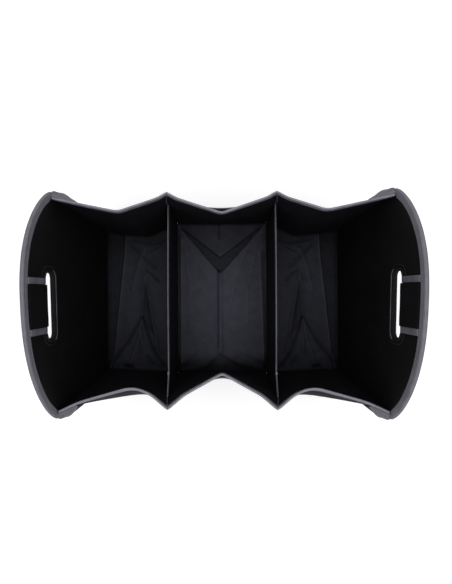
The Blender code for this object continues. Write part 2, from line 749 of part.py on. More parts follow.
def make_outer_bases():
    """Outer bases: a flat strip at the end panel, then an inverted V of folds."""
    inner_x = DIVIDER_X + DIVIDER_BOARD / 2 + GAP
    outer_x = END_X - 2 * GAP
    back = outer_corners(BACK, WALL_FOOT_Z)
    front = outer_corners(FRONT, WALL_FOOT_Z)
    edge = WALL_CLOTH / 2
    ring = [
        ("front_divider", (inner_x, front[0, 1] - edge)),
        ("front_fold", (front[2, 0], front[2, 1] - edge)),
        ("front_neck", (front[3, 0], front[3, 1] - edge)),
        ("front_end", (outer_x, front[4, 1] - edge)),
        ("back_end", (outer_x, back[4, 1] + edge)),
        ("back_neck", (back[3, 0], back[3, 1] + edge)),
        ("back_fold", (back[2, 0], back[2, 1] + edge)),
        ("back_divider", (inner_x, back[0, 1] + edge)),
    ]
    front_y, back_y = front[0, 1], back[0, 1]
    folds = []
    for word, across, along, height in OUTER_CREASES:
        x = inner_x + (outer_x - inner_x) * across
        y = front_y + (back_y - front_y) * along
        folds.append((word, (x, y, height * CREASE_HEIGHT)))
    faces = [
        "back_end strip_mid front_end",
        "back_end strip_back strip_mid",
        "back_end back_neck strip_back",
        "front_end strip_mid strip_front",
        "back_neck crumple strip_back",
        "strip_back peak strip_mid",
        "strip_back crumple peak",
        "strip_mid peak fork",
        "strip_mid fork strip_front",
        "strip_front fork fork_left",
        "back_neck back_fold crumple",
        "back_fold back_divider crumple",
        "crumple back_divider peak",
        "peak back_divider fork_right",
        "fork_right back_divider front_divider",
        "peak fork_right fork",
        "fork fork_right fork_mid",
        "fork fork_mid fork_left",
        "fork_left fork_mid front_neck",
        "fork_mid front_fold front_neck",
        "fork_mid fork_right front_fold",
        "fork_right front_divider front_fold",
        "strip_front fork_left front_end",
        "front_end fork_left front_neck",
    ]
    folded_base("base_right", ring, folds, faces)
    ring, folds, faces = mirror_ring(ring, folds, faces)
    folded_base("base_left", ring, folds, faces)


def make_organizer():
    """Build every piece of the organizer."""
    for side, word in ((-1, "left"), (1, "right")):
        make_end_panel(side, word)
        make_end_binding(side, word)
        make_slot_rim(side, word)
        make_grip(side, word)
        make_divider(side, word)
    for face, word in ((BACK, "back"), (FRONT, "front")):
        for bay in ("left", "middle", "right"):
            make_wall(bay, face, word)
        make_rim_binding(face, word)
        make_pocket(face, word)
        make_seam_tape(-1, face, "seam_tape_" + word + "_left")
        make_seam_tape(1, face, "seam_tape_" + word + "_right")
        make_wing(face, -1, word + "_left")
        make_wing(face, 1, word + "_right")
    make_middle_base()
    make_outer_bases()


clear_scene()
ORGANIZER = new_collection("car_organizer")
CUTTERS = new_collection("cutters")
make_organizer()
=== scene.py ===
"""Sewn boot organizer of black cloth over board, standing open, seen from above.

The file is laid out as a Blender add-on and is run as a script. It dresses the
loaded frame: every node of the frame is replaced by a finer piece in its place.
The sizes that differ from the frame's are listed apart. Sizes are in metres
and +Z is up. X runs along the organizer and +Y is its back.
"""

import math

import bpy
import numpy as np
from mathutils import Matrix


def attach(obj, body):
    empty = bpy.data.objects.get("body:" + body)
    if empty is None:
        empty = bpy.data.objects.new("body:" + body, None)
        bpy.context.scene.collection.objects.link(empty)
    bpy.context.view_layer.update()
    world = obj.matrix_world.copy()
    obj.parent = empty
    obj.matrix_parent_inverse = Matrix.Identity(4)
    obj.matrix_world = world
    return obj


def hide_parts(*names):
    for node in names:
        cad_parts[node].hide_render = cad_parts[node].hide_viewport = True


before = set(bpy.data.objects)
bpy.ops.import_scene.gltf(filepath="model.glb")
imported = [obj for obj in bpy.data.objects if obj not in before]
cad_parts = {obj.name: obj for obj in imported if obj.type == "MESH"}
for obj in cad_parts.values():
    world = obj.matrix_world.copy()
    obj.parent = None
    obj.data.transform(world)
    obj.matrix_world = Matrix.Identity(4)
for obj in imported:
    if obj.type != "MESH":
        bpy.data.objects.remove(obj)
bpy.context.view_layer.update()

bl_info = {
    "name": "Boot Organizer",
    "version": (1, 0, 0),
    "blender": (4, 5, 0),
    "location": "3D View > Sidebar > Organizer",
    "description": "Builds a sewn boot organizer with three bays over its frame",
    "category": "Object",
}

# Cloth, board and tape of the frame
GAP = 0.0003
END_BOARD = 0.0050
WALL_CLOTH = 0.0014
DIVIDER_BOARD = 0.0016
BASE_CLOTH = 0.0012
POCKET_CLOTH = 0.0010
SLEEVE_CLOTH = 0.0016
TAPE = 0.0006

# Long walls and corner wings of the frame
RIM_Z = 0.2800
SIDE_HALF = 0.1620
MIDDLE_SHIFT = 0.0060
RIM_TAPE_DEPTH = 0.0100
SEAM_TAPE_WIDTH = 0.0060
NECK_X = 0.2170
STRAIGHT_LEAN = 1.0
ROLLED_LEAN = 7.0
WING_BEND = 0.0155
WING_ROUND = 0.0108
WING_TAPE_DEPTH = 0.0080

# End panels, handle slot and grip of the frame
END_X = 0.2500
END_FOOT_HALF = 0.1580
END_SHOULDER_HALF = 0.1732
SHOULDER_Z = 0.2710
ARCH_RISE = 0.0900
ARCH_POWER = 2.40
ARCH_ROUND = 1.25
END_LEAN = 0.0104
END_TWIST = 0.0480
SIDE_TAPE_DEPTH = 0.0040
SLOT_LENGTH = 0.0994
SLOT_HEIGHT = 0.0262
SLOT_CORNER = 0.0090
SLOT_RIM_DEPTH = 0.0035
GRIP_HEIGHT = 0.0575
GRIP_TAPE_Y = 0.0355
GRIP_TAPE_WIDTH = 0.0090

# Dividers, pockets and base of the frame
DIVIDER_X = 0.0905
DIVIDER_TOP_Z = 0.2050
DIVIDER_RISE = 0.0220
DIVIDER_RISE_RUN = 0.0380
DIVIDER_TAPE_DEPTH = 0.0080
CORNER_LEAN = 0.0080
POCKET_Z = 0.1900
POCKET_TAPE_DEPTH = 0.0080
POCKET_ROUND = 0.0180
BACK_POCKET_SAG = 0.0080
BASE_MARGIN = 0.0080

# Sizes that differ from the frame's: above the hem the rim stands upright, the ends of
# the walls are tucked in, the dividers and their tape are thinner, their feet are
# splayed, the arch tapes are deeper, the end panels are dished, the grips are fuller
# and the front pocket lies further in
HEM_Z = 0.2735
CORNER_TUCK = 0.0045
DIVIDER_SHOWN = 0.0007
DIVIDER_GAP = 0.0001
DIVIDER_SPLAY = 0.0060
ARCH_TAPE_SHOWN = 0.0086
DISH = 0.0020
SLEEVE_PUFF = 0.0020
DIVIDER_TAPE = 0.5 * TAPE
FRONT_POCKET_SAG = 0.0330

# A divider's slight bend: its depth, where along Y it begins and how far it runs
DIVIDER_BOW = 0.0008
BOW_START = -0.156
BOW_RUN = 0.32

# A wing: how far its top row is tucked in, and the share by which its start is lower
WING_TUCK = 0.0045
WING_SINK = 0.010

# Base: height of the loose cloth, reach past the walls, and its hem in the flat
BASE_LOFT = 0.0035
BASE_REACH = 1.5 * WALL_CLOTH

# Sewing: the small step by which threads and wings keep off a surface and a cord's
# foot goes into it, a bar tack's spacing and reach, how far outside the slot its cord
# and its stitched outline lie, the cords' width and height, and the spacing of points
# along a folded tape and along a rim
LIFT = 0.0002
TACK_STEP = 0.0006
TACK_REACH = (0.0022, 0.0023)
LIP_CORD_OUT = 0.0041
LIP_STITCH_OUT = 2.4 * SLOT_RIM_DEPTH
LIP_CORD = (0.0018, 0.0015)
CORNER_CORD = (0.0016, 0.0012)
TAPE_STEP = 0.0025
RIM_STEP = 0.0015

# Worked out from the sizes above
PEAK_Z = SHOULDER_Z + ARCH_RISE
SLOT_TOP_Z = PEAK_Z - GRIP_HEIGHT
SLOT_MID_Z = SLOT_TOP_Z - SLOT_HEIGHT / 2
CORNER_KNEE_Z = DIVIDER_TOP_Z + DIVIDER_RISE
DIVIDER_CLEAR = DIVIDER_BOARD / 2 + GAP + 0.4 * WALL_CLOTH
WALL_TOP_Z = RIM_Z - TAPE - GAP
WALL_LOW_Z = WALL_TOP_Z - RIM_TAPE_DEPTH
WALL_FOOT_Z = BASE_CLOTH + 2 * GAP
SEAM_INSET = SIDE_TAPE_DEPTH + GAP + WALL_CLOTH
WING_CLEAR = GAP + LIFT + WALL_CLOTH / 2

# The organizer's faces, ends and bays
BACK, FRONT = 1, -1
FACES = ((BACK, "back"), (FRONT, "front"))
ENDS = ((-1, "left"), (1, "right"))
BAYS = ("left", "middle", "right")

# Each long side: fold, neck and middle hold how far the wall reaches in at the rim
# and at the foot, and how far it rolls out between. fold_x is the fold's place, lean
# the power of its lean, pinch the run and depth of the pinch beside a seam, round
# how far the fold's curve runs to either side, and reach that of a corner wing
FOLDS = {
    BACK: {
        "fold": (0.0270, 0.0270, 0.0), "neck": (0.0147, 0.0220, 0.0),
        "middle": (0.0305, 0.0, 0.0), "fold_x": 0.1580, "lean": STRAIGHT_LEAN,
        "pinch": (0.0120, 0.0028), "round": 0.008, "reach": 0.0345,
    },
    FRONT: {
        "fold": (0.0330, 0.0030, 0.0015), "neck": (0.0095, 0.0065, 0.0105),
        "middle": (0.0525, 0.0, 0.0), "fold_x": 0.1340, "lean": ROLLED_LEAN,
        "pinch": (0.0230, 0.0050), "round": 0.018, "reach": 0.0270,
    },
}

# The photograph's view: the camera's place, lens, sideways shift and slight turn
CAMERA_PLACE = (0.0, 0.0190, 0.8920)
CAMERA_LENS = 25.19
CAMERA_SHIFT = 13.49 / 584
CAMERA_TILT = 0.0232
CAMERA_ROLL = -0.0045

# Stage: half the floor's width and its drop, the lamp's place, width and power, the
# floor's own glow to the camera, and how bright the surroundings light the scene
FLOOR_HALF = 6.0
FLOOR_DROP = 0.0004
LAMP_PLACE = (0.0, 0.0, 1.9)
LAMP_WIDTH = 1.6
LAMP_POWER = 18.0
FLOOR_GLOW = 0.45
WORLD_LIGHT = 0.55


def linear(code):
    """Turn an sRGB hex colour into linear red, green, blue and alpha 1."""
    parts = [int(code[i:i + 2], 16) / 255.0 for i in (1, 3, 5)]
    bent = [p / 12.92 if p <= 0.04045 else ((p + 0.055) / 1.055) ** 2.4 for p in parts]
    return (*bent, 1.0)


def color_property(name, description, code):
    """Return a colour property whose default is an sRGB hex colour."""
    return bpy.props.FloatVectorProperty(
        name=name, description=description, default=linear(code),
        subtype="COLOR", size=4, min=0.0, max=1.0)


def size_property(name, description, default):
    """Return a length property in metres."""
    return bpy.props.FloatProperty(
        name=name, description=description, default=default, min=0.0,
        unit="LENGTH", subtype="DISTANCE", precision=5)


class OrganizerColors(bpy.types.PropertyGroup):
    """Colours of the organizer's cloths, tapes and threads."""

    board: color_property("Board cloth", "Cloth over the end panels", "#0d0d0e")
    # Painted light: the walls' cloth is a lighter copy of the board cloth's black
    wall: color_property("Wall cloth", "Cloth of the walls and dividers", "#18181d")
    lining: color_property("Middle lining", "Nylon of the middle base", "#42434c")
    # Painted shade: the outer bases' nylon is a darker copy of the middle lining
    outer: color_property("Outer lining", "Nylon of the outer bases", "#2c2d34")
    tape: color_property("Tape", "Grey binding tape", "#716f79")
    rim: color_property("Rim tape", "Grey tape of the long walls' rims", "#86848f")
    sleeve: color_property("Sleeve", "Soft cloth over the grips", "#0f0e11")
    thread: color_property("Thread", "Sewing thread of the tapes", "#8f8d96")
    seam: color_property("Seam thread", "Sewing thread of the black cloth", "#3a3940")


class OrganizerSizes(bpy.types.PropertyGroup):
    """Sizes of the sewing and of the cloth's slack."""

    stitch: size_property("Stitch", "Length of one stitch", 0.0034)
    stitch_gap: size_property("Stitch gap", "Gap between two stitches", 0.0010)
    thread: size_property("Thread", "Thickness of the sewing thread", 0.0007)
    crown: size_property("Tape crown", "How far a tape swells above its seam", 0.0005)
    slack: size_property("Wall slack", "Depth of the ripples in the walls", 0.0014)
    crumple: size_property("Base crumple", "Depth of the base's small folds", 0.0016)
    weave: size_property("Weave", "Thread spacing of the cloth", 0.0012)


def unit(vectors):
    """Scale vectors to length 1."""
    return vectors / np.maximum(np.linalg.norm(vectors, axis=-1, keepdims=True), 1e-12)


def ramp(value, start, end):
    """Rise from 0 at start to 1 at end along the cubic 3t² − 2t³."""
    share = np.clip((value - start) / (end - start), 0.0, 1.0)
    return share * share * (3.0 - 2.0 * share)


def run_length(line):
    """Return the distance along a line of points at each point, from 0."""
    steps = np.linalg.norm(np.diff(line, axis=0), axis=1)
    return np.concatenate([[0.0], np.cumsum(steps)])


def points_at(line, run, at):
    """Return a line's points at the distances at; run holds those of its own points."""
    return np.stack([np.interp(at, run, column) for column in line.T], axis=1)


def resample(line, step):
    """Spread points evenly along a line, one every step; extra columns follow."""
    run = run_length(line[:, :3])
    at = np.linspace(0.0, run[-1], max(2, int(round(run[-1] / step)) + 1))
    return points_at(line, run, at)


def soften(line, passes):
    """Round a line's corners: each pass averages every point with its neighbours."""
    for _ in range(passes):
        line = line.copy()
        line[1:-1] = (line[:-2] + 2.0 * line[1:-1] + line[2:]) / 4.0
    return line


def crumple(u, v, size, seed, count=9, power=3.0):
    """Small sharp folds: the mean of (1 − |sin|) to a power of bent plane waves.

    Each wave has its own direction, a spacing of about size, and a slower wave
    that bends it. The generator has a fixed seed.
    """
    dice = np.random.default_rng(seed)
    total = np.zeros_like(u)
    for _ in range(count):
        angle, phase, bend_phase = dice.uniform(0.0, 2.0 * math.pi, 3)
        pitch = size * dice.uniform(0.6, 1.7)
        across = u * math.cos(angle) + v * math.sin(angle)
        along = v * math.cos(angle) - u * math.sin(angle)
        slow = along / pitch * dice.uniform(0.8, 1.6) + bend_phase
        sway = 0.35 * pitch * np.sin(slow)
        wave = np.sin(math.pi * (across + sway) / pitch + phase)
        total += (1.0 - np.abs(wave)) ** power
    return total / count


def ripple(u, v, size, seed, count=5):
    """Soft ripples between −1 and 1: the mean of sines of plane waves."""
    dice = np.random.default_rng(seed)
    total = np.zeros_like(u)
    for _ in range(count):
        angle, phase = dice.uniform(0.0, 2.0 * math.pi, 2)
        pitch = size * dice.uniform(0.7, 1.6)
        total += np.sin(2.0 * math.pi * (u * math.cos(angle) + v * math.sin(angle))
                        / pitch + phase)
    return total / count


def grid_normals(grid):
    """Return the unit normals of a grid: the cross product of its two slopes."""
    return unit(np.cross(np.gradient(grid, axis=1), np.gradient(grid, axis=0)))


def grid_lengths(grid):
    """Return a grid's UV map in metres: the lengths along its rows and columns."""
    across = np.linalg.norm(np.diff(grid, axis=1), axis=2)
    up = np.linalg.norm(np.diff(grid, axis=0), axis=2)
    u = np.pad(np.cumsum(across, axis=1), ((0, 0), (1, 0)))
    v = np.pad(np.cumsum(up, axis=0), ((1, 0), (0, 0)))
    return np.stack([u, v], axis=-1)


def put_mesh(name, points, quads, uv=None, sharp=35.0):
    """Make an object from arrays of points and quads, its faces turned outward."""
    corners = points[quads]
    normals = np.cross(corners[:, 2] - corners[:, 0], corners[:, 3] - corners[:, 1])
    if np.sum(corners.mean(axis=1) * normals) < 0.0:
        quads = quads[:, ::-1]
    mesh = bpy.data.meshes.new(name)
    mesh.vertices.add(len(points))
    mesh.vertices.foreach_set("co", points.astype(np.float32).ravel())
    mesh.loops.add(quads.size)
    mesh.loops.foreach_set("vertex_index", quads.astype(np.int32).ravel())
    mesh.polygons.add(len(quads))
    mesh.polygons.foreach_set("loop_start", np.arange(0, quads.size, 4, dtype=np.int32))
    mesh.update(calc_edges=True)
    mesh.shade_smooth()
    mesh.set_sharp_from_angle(angle=math.radians(sharp))
    if uv is not None:
        layer = mesh.uv_layers.new(name="cloth")
        layer.uv.foreach_set("vector", uv[quads.ravel()].astype(np.float32).ravel())
    item = bpy.data.objects.new(name, mesh)
    bpy.context.scene.collection.objects.link(item)
    return item


def slab(name, front, back, closed=False):
    """Closed body between two matching grids: both faces and a strip on each border.

    With closed, the rows run round a ring and the last one joins the first.
    """
    rows, columns = front.shape[:2]
    shift = rows * columns
    index = np.arange(shift).reshape(rows, columns)
    if closed:
        index = np.vstack([index, index[:1]])
    face = np.stack([index[:-1, :-1], index[1:, :-1], index[1:, 1:], index[:-1, 1:]],
                    axis=-1).reshape(-1, 4)
    quads = [face, face[:, ::-1] + shift]
    borders = [index[::-1, 0], index[:, -1]]
    if not closed:
        borders += [index[0], index[-1, ::-1]]
    for line in borders:
        quads.append(np.stack([line[:-1], line[1:], line[1:] + shift,
                               line[:-1] + shift], axis=1))
    points = np.concatenate([front.reshape(-1, 3), back.reshape(-1, 3)])
    uv = np.tile(grid_lengths(front).reshape(-1, 2), (2, 1))
    return put_mesh(name, points, np.concatenate(quads), uv)


def sheet_slab(name, grid, thickness):
    """Sheet of even thickness, half of it on each side of a grid."""
    side = grid_normals(grid) * thickness / 2
    return slab(name, grid + side, grid - side)


def paint(item, name, values):
    """Give both grids of a slab the same values of an attribute, point by point."""
    layer = item.data.attributes.new(name, "FLOAT", "POINT")
    layer.data.foreach_set("value", np.tile(values.ravel(), 2).astype(np.float32))


def ridge(name, line, out, width, height):
    """Sewn cord along a line: half an ellipse, width across and height outward."""
    across = unit(np.cross(out, np.gradient(line, axis=0)))[:, None]
    t = np.linspace(0.0, math.pi, 7)[None, :, None]
    foot = line[:, None] + across * (width / 2) * np.cos(t)
    top = foot + out[:, None] * height * np.sin(t)
    return slab(name, top, foot - out[:, None] * LIFT)


def tack(place, along, up):
    """Return the rows of a bar tack: five short threads side by side across a seam."""
    along, up = unit(along), unit(up)
    side = np.cross(up, along)
    rows = []
    for step in (-2, -1, 0, 1, 2):
        middle = place + along * step * TACK_STEP
        line = np.array([middle - side * TACK_REACH[0], middle + side * TACK_REACH[1]])
        rows.append((line, np.tile(up, (2, 1))))
    return rows


def stitches(name, rows, sizes):
    """Row upon row of stitches, each a small spindle that dips in at its ends.

    rows holds pairs of a line of points and its outward normals. A stitch is
    five squares along the line, scaled by √(1 − a²) for a from −1 to 1.
    """
    a = np.array([-1.0, -0.65, 0.0, 0.65, 1.0])
    radius = np.sqrt(1.0 - 0.85 * a * a)
    ring = np.array([(1.0, 0.0), (0.0, 1.0), (-1.0, 0.0), (0.0, -1.0)]) / 2
    template = np.stack(np.broadcast_arrays(
        a[:, None] * sizes.stitch / 2,
        ring[None, :, 0] * radius[:, None] * sizes.thread,
        ring[None, :, 1] * radius[:, None] * sizes.thread
        + 0.30 * sizes.thread * (1.0 - 1.6 * a[:, None] ** 2)), axis=-1).reshape(-1, 3)
    one = [(i * 4 + j, i * 4 + (j + 1) % 4, (i + 1) * 4 + (j + 1) % 4, (i + 1) * 4 + j)
           for i in range(4) for j in range(4)]
    one = np.array(one + [(3, 2, 1, 0), (16, 17, 18, 19)])
    points, quads, total = [], [], 0
    for line, normals in rows:
        run = run_length(line)
        pitch = sizes.stitch + sizes.stitch_gap
        at = np.arange(pitch / 2, run[-1], pitch)
        place = points_at(line, run, at)
        ahead = points_at(line, run, at + 0.0005)
        behind = points_at(line, run, at - 0.0005)
        up = unit(points_at(normals, run, at))
        along = unit(ahead - behind)
        side = unit(np.cross(up, along))
        axes = np.stack([along, side, np.cross(along, side)], axis=1)
        points.append((place[:, None] + template @ axes).reshape(-1, 3))
        start = total + np.arange(len(at))[:, None, None] * len(template)
        quads.append((one[None] + start).reshape(-1, 4))
        total += len(at) * len(template)
    return put_mesh(name, np.concatenate(points), np.concatenate(quads), sharp=80.0)


def fold_tape(name, edge, low, clear, thickness, crown, seam=0.38):
    """Tape folded over an edge, and the two lines that its stitches follow.

    Across its path it is a U: two legs that rise from the line low and swell by
    a half sine between the seam and the fold, and half an ellipse over the edge.
    Its attribute fold runs from 0 on the crown over 1 where a leg begins to 2 at
    the tape's edge.
    """
    both = resample(np.hstack([edge, low]), TAPE_STEP)
    edge, low = both[:, :3], both[:, 3:]
    run = run_length(edge)
    height = np.linalg.norm(edge - low, axis=1, keepdims=True)
    up = unit(edge - low)
    low = low - up * (0.03 * height) * ripple(run, run, 0.03, 7)[:, None]
    side = unit(np.cross(up, np.gradient(edge, axis=0)))
    leg = np.linspace(0.0, 1.0, 8)
    turn = np.linspace(0.0, math.pi, 11)[1:-1]
    rise = height + GAP - clear
    swell = crown * np.sin(math.pi * np.clip((leg - seam) / (1.0 - seam), 0.0, 1.0))
    swell = swell + 0.35 * crown * np.clip(1.0 - leg / seam, 0.0, 1.0)

    def contour(extra):
        legs_up = rise * leg
        legs_out = np.tile(clear + extra + swell, (len(edge), 1))
        arc_up = rise + (clear + extra) * np.sin(turn)
        arc_out = np.tile(-(clear + extra) * np.cos(turn), (len(edge), 1))
        out = np.hstack([-legs_out, arc_out, legs_out[:, ::-1]])
        tall = np.hstack([legs_up, arc_up, legs_up[:, ::-1]])
        return (low[:, None] + up[:, None] * tall[..., None]
                + side[:, None] * out[..., None])

    item = slab(name, contour(thickness), contour(0.0))
    across = np.concatenate([2.0 - leg, np.abs(turn * 2.0 / math.pi - 1.0),
                             1.0 + (1.0 - leg[::-1])])
    paint(item, "fold", np.tile(across, len(edge)))
    reach = clear + thickness
    seams = [(low + up * rise * seam - side * reach, -side),
             (low + up * rise * seam + side * reach, side)]
    return item, seams


def half_straight(z):
    """Return half the width of an end panel's straight sides at height z."""
    share = np.minimum(z, SHOULDER_Z) / SHOULDER_Z
    return END_FOOT_HALF + (END_SHOULDER_HALF - END_FOOT_HALF) * share


def arch_z(y):
    """Return the arch's height at y: a superellipse over the shoulders."""
    share = 1.0 - np.minimum(np.abs(y / END_SHOULDER_HALF), 1.0) ** ARCH_POWER
    return SHOULDER_Z + ARCH_RISE * share ** (1.0 / ARCH_ROUND)


def end_face_x(y, z):
    """Return the distance of an end panel's inner face from the middle.

    It leans by the square of the height, twists with y, and is dished a little
    inside its edge, most of all between the shoulders.
    """
    near_edge = np.maximum(np.abs(y) / half_straight(z), z / arch_z(y))
    dish = DISH * (1.0 - np.clip(near_edge, 0.0, 1.0) ** 6) * ramp(z, 0.10, 0.26)
    return END_X + (z / PEAK_Z) ** 2 * (END_LEAN + END_TWIST * y) - dish


def end_point(side, y, z, depth):
    """Return points of an end panel, depth into its board from the inner face."""
    x = side * (end_face_x(y, z) + depth)
    return np.stack(np.broadcast_arrays(x, y, z), axis=-1)


def arch_outline(count):
    """Return y and z along an end panel's edge, from its left foot over the arch."""
    turn = np.linspace(-math.pi / 2, math.pi / 2, count)
    y = END_SHOULDER_HALF * np.sin(turn)
    arch = np.stack([y, arch_z(y)], axis=1)
    rise = np.linspace(0.0, SHOULDER_Z, count // 2)[:-1]
    left = np.stack([-half_straight(rise), rise], axis=1)
    right = np.stack([half_straight(rise), rise], axis=1)[::-1]
    return np.vstack([left, arch, right])


def slot_outline(grow, steps):
    """Return y and z once round a slot from its top centre, grown by grow."""
    half_y, half_z = SLOT_LENGTH / 2 + grow, SLOT_HEIGHT / 2 + grow
    corner = SLOT_CORNER + grow
    points = [(0.0, half_z)]
    for sign_y, sign_z, start in ((1, 1, 90), (1, -1, 0), (-1, -1, -90), (-1, 1, -180)):
        angle = np.radians(start - np.linspace(0.0, 90.0, steps + 1))
        y = sign_y * (half_y - corner) + corner * np.cos(angle)
        z = sign_z * (half_z - corner) + corner * np.sin(angle)
        points += list(zip(y, z))
    points.append((0.0, half_z))
    return np.array(points) + (0.0, SLOT_MID_Z)


def even_line(line, count):
    """Return count points at equal distances along a line in the plane."""
    run = run_length(line)
    return points_at(line, run, np.linspace(0.0, run[-1], count))


def side_y(face, depth):
    """Return y of the back or front wall where it is folded in by depth."""
    return face * (SIDE_HALF - depth) + MIDDLE_SHIFT


def divider_splay(z):
    """Return how far a divider stands out of its upright at height z."""
    return DIVIDER_SPLAY * np.clip(1.0 - z / DIVIDER_TOP_Z, 0.0, 1.0)


def corner_x(z):
    """Return how far from the middle a divider's upright corner is at height z."""
    knee = np.maximum(0.0, (z - CORNER_KNEE_Z) / (RIM_Z - CORNER_KNEE_Z))
    return DIVIDER_X - CORNER_LEAN * knee


def outward_of(along, face):
    """Turn directions in the plan by a right angle, out of the back or the front."""
    return face * np.stack([-along[..., 1], along[..., 0]], axis=-1)


def plan_corners(bay, face, z):
    """Return the plan corners of a wall at heights z: heights by corners by 2."""
    folds = FOLDS[face]

    def depth(name, lean):
        rim, foot, roll = folds[name]
        share = np.minimum(z / HEM_Z, 1.0)
        lean_in = foot + (rim - foot) * share ** lean
        return lean_in - roll * np.sin(math.pi * share ** 3)

    corner = corner_x(z) + divider_splay(z)
    if bay == "middle":
        start, fold_x = corner - DIVIDER_CLEAR, 0.0
        fold = depth("middle", STRAIGHT_LEAN)
    else:
        start, fold_x = corner + DIVIDER_CLEAR, folds["fold_x"]
        fold = depth("fold", folds["lean"])
    run, pinch = folds["pinch"]
    share = run / np.abs(fold_x - start)
    kink_x = start + (fold_x - start) * share
    kink_y = side_y(face, fold * share + pinch * (z / RIM_Z) ** 2)
    corners = [(start, side_y(face, 0.0)), (kink_x, kink_y),
               (fold_x, side_y(face, fold))]
    if bay == "middle":
        corners = [(-x, y) for x, y in corners[:2]] + corners[::-1]
    else:
        end_y = face * (half_straight(z) - SEAM_INSET - CORNER_TUCK * (z / RIM_Z) ** 4)
        end_x = end_face_x(end_y, z) + GAP
        neck_y = side_y(face, depth("neck", folds["lean"]))
        corners += [(NECK_X, neck_y), (end_x, end_y)]
    grid = np.stack([np.stack(np.broadcast_arrays(x, y, z)[:2], axis=-1)
                     for x, y in corners], axis=1)
    return grid[:, ::-1] * (-1.0, 1.0) if bay == "left" else grid


def bend(before, corner, after, radius, steps):
    """Return a quadratic curve round a corner, from radius before it to after it."""
    start = corner + unit(before - corner) * radius
    end = corner + unit(after - corner) * radius
    t = np.linspace(0.0, 1.0, steps + 1)[:, None]
    return ((1 - t) ** 2 * start[:, None] + 2 * t * (1 - t) * corner[:, None]
            + t * t * end[:, None])


def wall_plan(bay, face, z):
    """Round a wall's plan at each fold by a quadratic curve, and fill in points."""
    corners = plan_corners(bay, face, z)
    if bay == "middle":
        radii, counts = (0.006, 0.005, 0.006), (5, 18, 18, 5)
    else:
        radii, counts = (0.006, FOLDS[face]["round"], 0.014), (5, 12, 20, 8)
    if bay == "left":
        radii, counts = radii[::-1], counts[::-1]
    lines, start = [corners[:, :1]], corners[:, 0]
    for i, radius in enumerate(radii, 1):
        curve = bend(corners[:, i - 1], corners[:, i], corners[:, i + 1], radius, 8)
        lines += [between(start, curve[:, 0], counts[i - 1]), curve[:, 1:]]
        start = curve[:, -1]
    lines.append(between(start, corners[:, -1], counts[-1]))
    return np.concatenate(lines, axis=1)


def between(start, end, count):
    """Return points on straight lines from start to end, without their start."""
    t = np.linspace(0.0, 1.0, count + 1)[1:, None]
    return start[:, None] * (1.0 - t) + end[:, None] * t


def lift(plan, z):
    """Give the plans at heights z their height."""
    tall = np.broadcast_to(z[:, None, None], (*plan.shape[:2], 1))
    return np.concatenate([plan, tall], axis=2)


def long_side(face, z):
    """Return the line of a whole long side at height z over its three bays."""
    z = np.array([z])
    left, middle, right = (wall_plan(bay, face, z)[0] for bay in BAYS)

    def meet(one, two):
        a, b = one[-1] - one[-2], two[1] - two[0]
        gap = two[0] - one[-1]
        share = (gap[0] * b[1] - gap[1] * b[0]) / (a[0] * b[1] - a[1] * b[0])
        return (one[-1] + a * share)[None]

    plan = np.vstack([left[:-1], meet(left, middle), middle[1:-1],
                      meet(middle, right), right[1:]])
    trim = GAP + 2 * GAP + TAPE + 0.5 * (2 * WALL_CLOTH + 2 * GAP + 2 * TAPE)
    plan[0] += unit(plan[1] - plan[0]) * trim
    plan[-1] += unit(plan[-2] - plan[-1]) * trim
    return np.column_stack([plan, np.full(len(plan), z[0])])


def add_node(material, kind, settings=(), links=()):
    """Add a shader node, set its inputs and options by name, and link its inputs."""
    node = material.node_tree.nodes.new("ShaderNode" + kind)
    for key, value in dict(settings).items():
        if isinstance(key, int) or key in node.inputs:
            node.inputs[key].default_value = value
        else:
            setattr(node, key, value)
    for key, output in dict(links).items():
        material.node_tree.links.new(output, node.inputs[key])
    return node


# Shade across a folded tape by its fold, all painted light and shade: a painted
# highlight on the pressed crown, painted shade in the groove beside the crown and along
# the stitches, and a little lighter at the tape's edge
FOLD_LIGHT_AND_SHADE = ((0.0, 1.0), (0.55, 1.0), (0.92, 0.58), (1.12, 0.90), (1.50, 0.88),
               (1.64, 0.68), (1.80, 0.90), (2.0, 1.05))


def fold_light_and_shade(material):
    """Return the painted light and shade across a folded tape: the value of a ramp of
    its fold.
    """
    fold = add_node(material, "Attribute", {"attribute_name": "fold"})
    half = add_node(material, "Math", {"operation": "MULTIPLY", 1: 0.5},
                    {0: fold.outputs["Fac"]})
    curve = add_node(material, "ValToRGB", {}, {"Fac": half.outputs["Value"]})
    elements = curve.color_ramp.elements
    while len(elements) < len(FOLD_LIGHT_AND_SHADE):
        elements.new(0.5)
    for element, (place, shade) in zip(elements, FOLD_LIGHT_AND_SHADE):
        element.position = place / 2.0
        element.color = (shade, shade, shade, 1.0)
    return curve.outputs["Color"]


